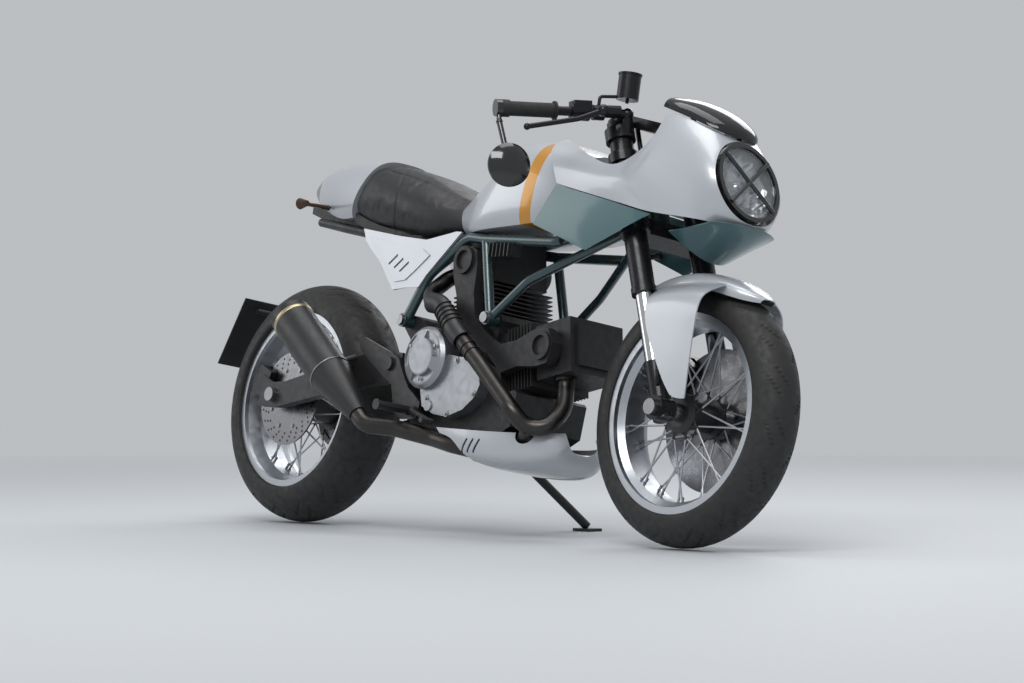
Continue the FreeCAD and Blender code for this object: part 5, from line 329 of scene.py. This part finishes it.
def lace_nipples(end, wheel):
    """A nipple in the rim for each spoke, pointing at the hub."""
    hub = on_bike(wheel["axle"][0], 0, wheel["axle"][1])
    nipples = []
    for index in range(SPOKES):
        side = 1 if index % 2 else -1
        sense = 1 if index % 4 < 2 else -1
        angle = index * 2 * math.pi / SPOKES + sense * SPOKE_REACH
        place = on_circle(wheel["axle"], wheel["rim"] - NIPPLE_INSET, angle, side * NIPPLE_SIDE)
        nipples.append((place, (hub - place).normalized()))
    studs(f"{end}_spoke_nipples", nipples, f"{end}_wheel", plated_steel,
          head=(2.9, 13), flange=(4.6, 2), corners=8)


for end, wheel in WHEELS.items():
    dress(laced_hub(end, wheel), f"{end}_hub")
    lace_nipples(end, wheel)


# Tyres: moulded rubber, with slanting grooves cut through the tread and two fine raised rings on
# each side wall. The rubber is scuffed dull and is a little brown with dust in patches.

tyre_rubber = finish("tyre_rubber", (0.011, 0.011, 0.0115), (0.021, 0.02, 0.019), (0.5, 0.78),
                     patch_scale=14, grain=(1400, 1400, 1400), relief=0.22)
TYRE_TURNS, WALL_STEPS, CROWN_STEPS = 720, 9, 34
WALL_SKIN, CROWN_SKIN = 1, 2.4
RING_STEPS, RING_RISE = (3, 5), 1.1
GROOVE_HALF, GROOVE_DEPTH, GROOVE_FLANK = 3.4, 4.5, 4
GROOVE_SWEEP, GROOVE_CURVE, GROOVE_FADE = 1.1, 1.4, 0.08
# Each run of grooves has a lag, in spacings, and begins and ends at shares of the half width.
GROOVE_RUNS = ((0, 0.12, 0.62), (0.5, 0.42, 0.86))


def new_piece(name, points, faces, material, body, smooth=True):
    mesh = bpy.data.meshes.new(name)
    mesh.from_pydata(points, [], faces)
    mesh.materials.append(material)
    mesh.polygons.foreach_set("use_smooth", [smooth] * len(mesh.polygons))
    piece = add_object(name, mesh)
    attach(piece, body)
    return piece


def turned_faces(turns, count, closed=True):
    """The faces between the turns of a profile of so many points that goes round an axis."""
    faces = []
    for step in range(turns):
        near, far = step * count, (step + 1) % turns * count
        for index in range(count if closed else count - 1):
            after = (index + 1) % count
            faces.append((near + index, near + after, far + after, far + index))
    return faces


def tyre_profile(wheel):
    """Pairs of radius and offset across a tyre, from bead to bead over the crown."""
    equator, flange = wheel["radius"] - wheel["crown"], wheel["rim"] + WALL_SKIN
    widest = wheel["half_width"] - WALL_SKIN
    wall, crown = [], []
    for step in range(WALL_STEPS):
        share = step / WALL_STEPS * math.pi / 2
        ring = RING_RISE if step in RING_STEPS else 0
        wall.append((flange + (equator - flange) * (1 - math.cos(share)),
                     wheel["bead"] + (widest - wheel["bead"]) * math.sin(share) + ring))
    for step in range(CROWN_STEPS + 1):
        share = step / CROWN_STEPS * math.pi
        crown.append((equator + (wheel["crown"] - CROWN_SKIN) * math.sin(share),
                      widest * math.cos(share)))
    return wall + crown + [(radius, -offset) for radius, offset in reversed(wall)]


def groove_cut(wheel, turn, offset):
    """How deep the tread is cut at an angle round the tyre and an offset across it."""
    across = abs(offset) / wheel["half_width"]
    spacing = 2 * math.pi / wheel["grooves"]
    start = 0 if offset > 0 else spacing / 2
    deepest = 0
    for lag, low, high in GROOVE_RUNS:
        if low < across < high:
            line = start + (lag + GROOVE_SWEEP * across ** GROOVE_CURVE) * spacing
            gap = (turn - line + spacing / 2) % spacing - spacing / 2
            fade = min(1, (across - low) / GROOVE_FADE, (high - across) / GROOVE_FADE)
            flank = 1 - (abs(gap) * wheel["radius"] / GROOVE_HALF) ** GROOVE_FLANK
            deepest = max(deepest, fade * GROOVE_DEPTH * max(0, flank))
    return deepest


def make_tyre(end, wheel):
    profile = tyre_profile(wheel)
    points = []
    for step in range(TYRE_TURNS):
        turn = 2 * math.pi * step / TYRE_TURNS
        for radius, offset in profile:
            reach = radius - groove_cut(wheel, turn, offset)
            points.append(on_bike(wheel["axle"][0] + reach * math.sin(turn), offset,
                                  wheel["axle"][1] - reach * math.cos(turn)))
    piece = new_piece(f"{end}_tyre_tread", points, turned_faces(TYRE_TURNS, len(profile)),
                      tyre_rubber, f"{end}_wheel")
    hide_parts(f"{end}_tyre")


for end, wheel in WHEELS.items():
    make_tyre(end, wheel)


# Brakes and drive: ground steel discs drilled in rows and held on by buttons, cast black calipers
# and an oiled roller chain, dark with road dust. The discs keep a fine grinding grain, and the shade
# in their drilled holes is painted as thin dark discs.

disc_steel = finish("disc_steel", (0.24, 0.24, 0.25), (0.16, 0.16, 0.17), (0.22, 0.36), metal=1.0,
                    grain=(1500, 200, 1500), relief=0.1)
chain_steel = finish("chain_steel", (0.2, 0.19, 0.17), (0.08, 0.075, 0.065), (0.3, 0.6), metal=1.0)
caliper_black = finish("caliper_black", (0.014, 0.014, 0.016), (0.025, 0.025, 0.028), (0.3, 0.42),
                       metal=0.4)
dress(disc_steel, "front_disc", "rear_disc", "rear_sprocket")
dress(chain_steel, "chain")
dress(caliper_black, "front_caliper", "rear_caliper")

LEFT = -RIGHT
HOLE_ROWS, HOLE_EDGE, HOLE_PITCH, HOLE_LAG = 3, 9, 10, 0.07
BUTTONS, BUTTON_EDGE = 8, 44


def round_places(centre, reach, offset, count, side, start=0.0):
    """Evenly spaced (place, direction) pairs on a circle beside the bike."""
    return [(on_circle(centre, reach, 2 * math.pi * (index + start) / count, side * offset),
             LEFT * side) for index in range(count)]


def disc_marks(end, radius, face, side, count):
    """Painted shade for a disc's drilled holes, as thin dark discs in rows, and the buttons round
    its carrier.
    """
    axle = WHEELS[end]["axle"]
    holes = [(on_circle(axle, radius - HOLE_EDGE - HOLE_PITCH * row,
                        2 * math.pi * index / count + row * HOLE_LAG, side * face), LEFT * side)
             for index in range(count) for row in range(HOLE_ROWS)]
    buttons = round_places(axle, radius - BUTTON_EDGE, face, BUTTONS, side, 0.5)
    # The holes' shade is painted: thin flat black discs lie on the disc's face at each hole.
    studs(f"{end}_disc_hole_shade", holes, f"{end}_wheel", caliper_black,
          head=(2.6, 0.4), flange=(3.2, 0.5), corners=10)
    studs(f"{end}_disc_buttons", buttons, f"{end}_wheel", plated_steel,
          head=(5, 3), flange=(7, 1.6), corners=12)


disc_marks("rear", radius=122, face=84.6, side=-1, count=22)
disc_marks("front", radius=165, face=72.6, side=1, count=30)


# Frame: round steel tubes welded into a trellis and sprayed dark teal under a clear coat. The seat
# rails, swingarm and brackets are powder coated satin black, with a light orange peel, the number
# plate's holder and the seat's tray are grained plastic, and the shock is bare steel.

frame_teal = finish("frame_teal", (0.026, 0.055, 0.061), (0.02, 0.042, 0.048), (0.24, 0.34),
                    metal=0.2, Coat_Weight=0.6, Coat_Roughness=0.12)
satin_black = finish("satin_black", (0.009, 0.009, 0.01), (0.016, 0.016, 0.017), (0.34, 0.5),
                     relief=0.12)
plastic_black = finish("plastic_black", (0.012, 0.012, 0.013), (0.02, 0.02, 0.021), (0.45, 0.62),
                       grain=(2200, 2200, 2200), relief=0.2)
dress(frame_teal, "frame")
dress(satin_black, "subframe", "swingarm", "side_plates", "footpegs", "stand_bracket",
      "side_stand", "fairing_stays", "regulator")
dress(plastic_black, "plate_holder", "seat_tray")
dress(disc_steel, "shock")


# Engine: cases and finned cylinders cast in aluminium and painted wrinkle black, under a bare cast
# clutch cover. Plated hex flange bolts stand round the edges of the clutch and generator covers.

engine_black = finish("engine_black", (0.008, 0.008, 0.009), (0.018, 0.018, 0.019), (0.42, 0.62),
                      grain=(700, 700, 700), relief=0.45, depth=0.0006)
cast_silver = finish("cast_silver", (0.34, 0.35, 0.37), (0.25, 0.26, 0.275), (0.3, 0.46),
                     metal=0.85, grain=(1300, 1300, 1300), relief=0.12)
dress(engine_black, "crankcase", "front_cylinder", "rear_cylinder", "engine_covers")
dress(cast_silver, "clutch_cover")

CASE_BACK, CASE_LENGTH, CASE_FOOT, CASE_HEIGHT, CASE_FACE = 618, 232, 262, 150, 147
# Shares of the clutch case's length and height.
CASE_BOLTS = ((0.13, 0.32), (0.49, 0.08), (0.89, 0.4), (0.78, 0.91), (0.55, 0.94))
CLUTCH, BADGE_REACH, BADGE_FACE = (637, 408), 54, 170
GENERATOR, GENERATOR_REACH, GENERATOR_FACE = (752, 386), 80, 154

case_bolts = [(on_bike(CASE_BACK + CASE_LENGTH * along, -CASE_FACE, CASE_FOOT + CASE_HEIGHT * up),
               RIGHT) for along, up in CASE_BOLTS]
studs("clutch_case_bolts", case_bolts, "chassis", plated_steel,
      head=(5, 5), flange=(7.5, 1.5))
studs("clutch_badge_screws", round_places(CLUTCH, BADGE_REACH, BADGE_FACE, 3, -1, 0.25), "chassis",
      plated_steel, head=(4, 2), flange=(5, 1), corners=12)
studs("generator_bolts", round_places(GENERATOR, GENERATOR_REACH, GENERATOR_FACE, 7, 1), "chassis",
      plated_steel, head=(4.5, 4), flange=(6.5, 1.5))


# Exhaust: bent stainless header pipes turned brown-grey by heat, a black shield over the rear bend
# and a satin black can. A pale gold ring closes the can, and a bare steel one joins it to its cone.

header_steel = finish("header_steel", (0.045, 0.045, 0.046), (0.085, 0.075, 0.065), (0.26, 0.45),
                      metal=1.0, amount=0.7, patch_scale=7)
muffler_black = finish("muffler_black", (0.01, 0.01, 0.011), (0.016, 0.016, 0.017), (0.38, 0.5),
                       relief=0.15)
pale_gold = finish("pale_gold", (0.5, 0.43, 0.27), (0.4, 0.35, 0.22), (0.25, 0.38), metal=0.9)
dress(header_steel, "exhaust_pipes")
dress(muffler_black, "muffler", "heat_shield", "muffler_cap")

CAN_START, CAN_END = Vector((464, -205, 258)), Vector((127, -205, 506))
CAN_RADIUS = 54
RING_TURNS = 96
# A ring's section: shares of its length along the can, and millimetres out from its face.
RING_SECTION = ((-0.5, -2), (-0.3, 0), (0.3, 0), (0.5, -2))


def make_can_ring(name, share, radius, length, material):
    """A rolled ring round the can, at a share of the can's length."""
    middle = CAN_START.lerp(CAN_END, share)
    way = (CAN_END - CAN_START).normalized()
    side = Vector((0, 1, 0))
    up = way.cross(side)
    points = []
    for step in range(RING_TURNS):
        turn = 2 * math.pi * step / RING_TURNS
        out = side * math.cos(turn) + up * math.sin(turn)
        for along, lift in RING_SECTION:
            points.append(on_bike(*(middle + way * (along * length) + out * (radius + lift))))
    new_piece(name, points, turned_faces(RING_TURNS, len(RING_SECTION)), material, "chassis")


make_can_ring("muffler_joint_ring", 0.4, CAN_RADIUS + 1.6, 5, plated_steel)
make_can_ring("muffler_gold_ring", 0.945, CAN_RADIUS + 1.2, 15, pale_gold)


# Fork and bars: anodised black outer tubes over chromed stanchions, cast feet, machined clamps and
# forged levers. The grips are dull rubber, and the glossy mirrors hang from the bars' ends.

fork_black = finish("fork_black", (0.011, 0.011, 0.013), (0.018, 0.018, 0.021), (0.22, 0.36),
                    metal=0.5, grain=(2000, 2000, 200), relief=0.04)
chrome = finish("chrome", (0.62, 0.62, 0.63), (0.52, 0.52, 0.53), (0.06, 0.14), metal=1.0,
                relief=0.02)
grip_rubber = finish("grip_rubber", (0.008, 0.008, 0.008), (0.014, 0.014, 0.014), (0.6, 0.8),
                     relief=0.3)
gloss_black = finish("gloss_black", (0.005, 0.005, 0.006), (0.009, 0.009, 0.01), (0.08, 0.2),
                     relief=0.02, Coat_Weight=0.6)
dress(fork_black, "fork_outers", "fork_bottoms", "triple_clamps", "handlebars", "controls",
      "instrument")
dress(chrome, "fork_stanchions")
dress(grip_rubber, "grips")
dress(gloss_black, "mirrors")


# Tank, fairing and tail: pressed and moulded shells, sprayed silver under clear lacquer. An amber
# band runs over the tank in front of the rider's knees, and the fairing's flanks are grey-teal.

SPRAYED = {"patch_scale": 3, "smudge_scale": 12, "grain": (90, 90, 90), "relief": 0.01,
           "Coat_Weight": 0.8, "Coat_Roughness": 0.06}
silver_paint = finish("silver_paint", (0.44, 0.46, 0.49), (0.4, 0.42, 0.45), (0.3, 0.33),
                      metal=0.3, **SPRAYED)
teal_paint = finish("teal_paint", (0.046, 0.112, 0.122), (0.04, 0.098, 0.107), (0.27, 0.32),
                    metal=0.25, **SPRAYED)
AMBER = (0.5, 0.22, 0.012, 1)
# The band's edges along the floor at one height, in metres, and how far it slants for each metre up.
BAND = {"back": 0.234, "front": 0.272, "height": 0.84, "slant": 0.16}


def banded_paint():
    """The tank's silver with an amber band between two slanting planes."""
    material, tree, _, mask = overlaid(silver_paint, "banded_paint", AMBER)
    place, split, slant, along, after, before, inside = add_nodes(
        tree, "ShaderNodeTexCoord", "ShaderNodeSeparateXYZ", *["ShaderNodeMath"] * 5)
    slant.operation, along.operation, inside.operation = "MULTIPLY", "SUBTRACT", "MULTIPLY"
    after.operation, before.operation = "GREATER_THAN", "LESS_THAN"
    offset = BAND["slant"] * BAND["height"]
    slant.inputs[1].default_value = BAND["slant"]
    after.inputs[1].default_value = BAND["back"] - offset
    before.inputs[1].default_value = BAND["front"] - offset
    join(tree,
         (place.outputs["Object"], split.inputs[0]), (split.outputs["Z"], slant.inputs[0]),
         (split.outputs["X"], along.inputs[0]), (slant.outputs[0], along.inputs[1]),
         (along.outputs[0], after.inputs[0]), (along.outputs[0], before.inputs[0]),
         (after.outputs[0], inside.inputs[0]), (before.outputs[0], inside.inputs[1]),
         (inside.outputs[0], mask))
    return material


dress(silver_paint, "nose_fairing", "front_fender", "belly_pan", "seat_cowl", "side_covers")
dress(teal_paint, "side_fairing", "chin_cowl")
dress(banded_paint(), "fuel_tank")


# Seat: a foam pad under black grained leather, drawn tight over its base and sewn along both
# sides. The built pad is swelled by air pressure as a cloth, so that the cover rounds and settles.

seat_leather = finish("seat_leather", (0.009, 0.009, 0.01), (0.016, 0.016, 0.017), (0.42, 0.6),
                      grain=(420, 420, 420), relief=0.35, depth=0.0008)
PAD_MERGE, PAD_VOXEL = 0.0002, 0.006
PAD_EVEN_TIMES, PAD_EVEN = 4, 0.5
PAD_PRESSURE, PAD_QUALITY, PAD_FRAMES, PAD_SWELL = 4, 4, 16, 0.007
SEAT_BACK, SEAT_LENGTH, SEAT_HALF, SEAT_TOP = 189, 468, 138, 740
SEAM_SHARE, SEAM_HALF, SEAM_DEPTH = 0.7, 4.5, 0.0022
# The seams stand apart by these shares of the seat's half width, least and added in the middle.
SEAM_LEAST, SEAM_MORE, SEAM_START = 0.55, 0.42, 0.1
CROSS_SEAM, CROSS_BOW = 0.32, 260


def padded_seat():
    pad = add_object("seat_pad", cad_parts["seat"].data.copy())
    merge = pad.modifiers.new("merge", "WELD")
    merge.merge_threshold = PAD_MERGE
    remesh = pad.modifiers.new("remesh", "REMESH")
    remesh.mode, remesh.voxel_size = "VOXEL", PAD_VOXEL
    even = pad.modifiers.new("even", "SMOOTH")
    even.iterations, even.factor = PAD_EVEN_TIMES, PAD_EVEN
    rest = finished_mesh(pad)
    pad.modifiers.clear()
    pad.data = rest
    start = [vertex.co.copy() for vertex in rest.vertices]
    cloth = pad.modifiers.new("cloth", "CLOTH")
    cloth.settings.use_pressure = True
    cloth.settings.uniform_pressure_force = PAD_PRESSURE
    cloth.settings.quality = PAD_QUALITY
    cloth.settings.effector_weights.gravity = 0
    cloth.point_cache.frame_end = PAD_FRAMES
    scene = bpy.context.scene
    for number in range(1, PAD_FRAMES + 1):
        scene.frame_set(number)
    swelled = finished_mesh(pad)
    pad.modifiers.clear()
    scene.frame_set(1)
    for vertex, before in zip(swelled.vertices, start):
        move = vertex.co - before
        if move.length > PAD_SWELL:
            vertex.co = before + move.normalized() * PAD_SWELL
    pad.data = swelled
    swelled.materials.clear()
    swelled.materials.append(seat_leather)
    return pad


def bike_side(point):
    """Millimetres left of the bike's middle plane, and up, for a place in the scene."""
    side, high = point.y - CONTACT.y, point.z - CONTACT.z
    return ((side * math.cos(LEAN) - high * math.sin(LEAN)) * MILLIMETRES,
            (side * math.sin(LEAN) + high * math.cos(LEAN)) * MILLIMETRES)


def seam_gap(along, side):
    """How far a point on the cover is from the nearest seam."""
    share = min(1, along / SEAT_LENGTH * (1 - SEAM_START) + SEAM_START)
    width = SEAT_HALF * (SEAM_LEAST + SEAM_MORE * math.sin(math.pi * share))
    return min(abs(abs(side) - width * SEAM_SHARE),
               abs(along - SEAT_LENGTH * CROSS_SEAM - side * side / CROSS_BOW))


def sew_channels(pad):
    """Presses the two long seams and the cross seam into the cover."""
    refine = pad.modifiers.new("refine", "SUBSURF")
    refine.levels = refine.render_levels = 1
    fine = finished_mesh(pad)
    pad.modifiers.clear()
    pad.data = fine
    normals = [vertex.normal.copy() for vertex in fine.vertices]
    for vertex, normal in zip(fine.vertices, normals):
        side, high = bike_side(vertex.co)
        if high < SEAT_TOP:
            continue
        gap = seam_gap((vertex.co.x - CONTACT.x) * MILLIMETRES - SEAT_BACK, side)
        if gap < SEAM_HALF:
            vertex.co -= normal * SEAM_DEPTH * math.cos(gap / SEAM_HALF * math.pi / 2)
    fine.polygons.foreach_set("use_smooth", [True] * len(fine.polygons))


seat_pad = padded_seat()
sew_channels(seat_pad)
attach(seat_pad, "chassis")
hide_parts("seat")


# Lamps and screen: a clear lens over a bright fluted bowl with a black rim and guard, a black tail
# lamp, smoked amber indicators and a dark tinted screen. All are moulded plastics, polished smooth.

PLASTIC_IOR = 1.45
LAMP_CENTRE, LAMP_TILT = Vector((1513, 0, 829)), math.radians(18)
# The bowl's section from its mouth to the bulb's shade: depth behind the lamp's face, and radius.
BOWL = ((7, 80), (13, 79), (24, 73), (35, 62), (44, 49), (51, 34), (54, 22), (54, 18), (30, 17),
        (26, 13), (24, 6))
BOWL_FACETS = 48
FLUTE_EVERY, FLUTE_ROWS, FLUTE_SHARE = 4, range(1, 6), 0.985


def clear_moulding(name, colour, through, rough):
    """A material: a see-through plastic that lets through a share of the light."""
    material, tree, shader = plain_material(name)
    set_inputs(shader, {"Transmission Weight": through, "IOR": PLASTIC_IOR})
    cloud = add_group(tree, cloudy_finish, {
        "Colour": (*colour, 1), "Patch colour": (*(value * 0.8 for value in colour), 1),
        "Smooth": rough[0], "Dull": rough[1]})
    join(tree,
         (cloud.outputs["Colour"], shader.inputs["Base Color"]),
         (cloud.outputs["Roughness"], shader.inputs["Roughness"]))
    return material


def lamp_bowl():
    """The bright fluted reflector behind the lens, with a shade over the bulb."""
    ahead = Vector((math.cos(LAMP_TILT), 0, math.sin(LAMP_TILT)))
    across = Vector((0, 1, 0))
    up = ahead.cross(across)
    points = []
    for turn in range(BOWL_FACETS):
        angle = 2 * math.pi * turn / BOWL_FACETS
        out = across * math.cos(angle) + up * math.sin(angle)
        for row, (depth, reach) in enumerate(BOWL):
            flute = FLUTE_SHARE if turn % FLUTE_EVERY == 0 and row in FLUTE_ROWS else 1
            points.append(on_bike(*(LAMP_CENTRE - ahead * depth + out * reach * flute)))
    faces = turned_faces(BOWL_FACETS, len(BOWL), closed=False)
    faces.append([turn * len(BOWL) + len(BOWL) - 1 for turn in range(BOWL_FACETS)])
    new_piece("headlight_reflector", points, faces, chrome, "chassis", smooth=False)


lamp_bowl()
dress(clear_moulding("lamp_lens", (0.85, 0.88, 0.9), 0.9, (0.02, 0.06)), "headlight_lens")
dress(clear_moulding("smoked_screen", (0.02, 0.022, 0.025), 0.35, (0.03, 0.08)), "windscreen")
dress(clear_moulding("smoked_amber_lens", (0.06, 0.025, 0.008), 0.2, (0.1, 0.2)),
      "rear_indicators")
dress(gloss_black, "headlight", "tail_light")


# Studio: a pale painted floor that fades into an even pale backdrop, under wide soft lamps overhead,
# behind and at both sides. The camera stands low at the right front, as the photographer did.

BACKDROP = (0.5, 0.515, 0.535, 1)
FLOOR_REACH = 30.0
FADE_FROM, FADE_TO = 1.6, 6.5
CAMERA_PLACE = (5.33, -4.515, 0.41)
CAMERA_YAW, CAMERA_PITCH = math.radians(139.69), math.radians(0.49)
CAMERA_LENS, CAMERA_SENSOR = 99.98, 36


def stage_floor():
    corners = [(-FLOOR_REACH, -FLOOR_REACH, 0), (FLOOR_REACH, -FLOOR_REACH, 0),
               (FLOOR_REACH, FLOOR_REACH, 0), (-FLOOR_REACH, FLOOR_REACH, 0)]
    mesh = bpy.data.meshes.new("studio_floor")
    mesh.from_pydata(corners, [], [(0, 1, 2, 3)])
    paint = finish("floor_paint", (0.5, 0.52, 0.54), (0.49, 0.51, 0.53), (0.6, 0.7), relief=0.0)
    tree = paint.node_tree
    place, reach, fade, glow, blend = add_nodes(
        tree, "ShaderNodeTexCoord", "ShaderNodeVectorMath", "ShaderNodeMapRange",
        "ShaderNodeEmission", "ShaderNodeMixShader")
    reach.operation = "LENGTH"
    set_inputs(fade, {"From Min": FADE_FROM, "From Max": FADE_TO})
    set_inputs(glow, {"Color": BACKDROP})
    join(tree,
         (place.outputs["Object"], reach.inputs[0]), (reach.outputs["Value"], fade.inputs["Value"]),
         (fade.outputs["Result"], blend.inputs["Fac"]),
         (tree.nodes["Principled BSDF"].outputs[0], blend.inputs[1]),
         (glow.outputs[0], blend.inputs[2]),
         (blend.outputs[0], tree.nodes["Material Output"].inputs["Surface"]))
    mesh.materials.append(paint)
    add_object("studio_floor", mesh)


def soft_lamp(name, place, target, size, power):
    light = bpy.data.lights.new(name, "AREA")
    light.shape = "RECTANGLE"
    light.size, light.size_y = size
    light.energy = power
    lamp = add_object(name, light)
    lamp.location = place
    lamp.rotation_euler = (Vector(target) - Vector(place)).to_track_quat("-Z", "Y").to_euler()


def set_camera():
    lens = bpy.data.cameras.new("camera")
    lens.sensor_width, lens.lens = CAMERA_SENSOR, CAMERA_LENS
    camera = add_object("camera", lens)
    ahead = Vector((math.cos(CAMERA_YAW) * math.cos(CAMERA_PITCH),
                    math.sin(CAMERA_YAW) * math.cos(CAMERA_PITCH), math.sin(CAMERA_PITCH)))
    turn = ahead.to_track_quat("-Z", "Y").to_matrix().to_4x4()
    camera.matrix_world = Matrix.Translation(CAMERA_PLACE) @ turn
    bpy.context.scene.camera = camera


stage_floor()
soft_lamp("key_lamp", (2.5, -3.5, 4.2), (0, 0, 0.5), (3.0, 2.0), 150)
soft_lamp("fill_lamp", (-4.5, -3.0, 2.5), (0, 0, 0.5), (3.0, 2.5), 42)
soft_lamp("back_lamp", (-1.5, 4.5, 3.5), (0, 0, 0.6), (4.0, 2.0), 90)
soft_lamp("top_lamp", (0, 0, 4.5), (0, 0, 0), (3.5, 2.5), 75)
set_camera()

world = bpy.data.worlds.new("studio")
world.use_nodes = True
set_inputs(world.node_tree.nodes["Background"], {"Color": BACKDROP})
bpy.context.scene.world = world
bpy.context.scene.view_settings.view_transform = "Standard"
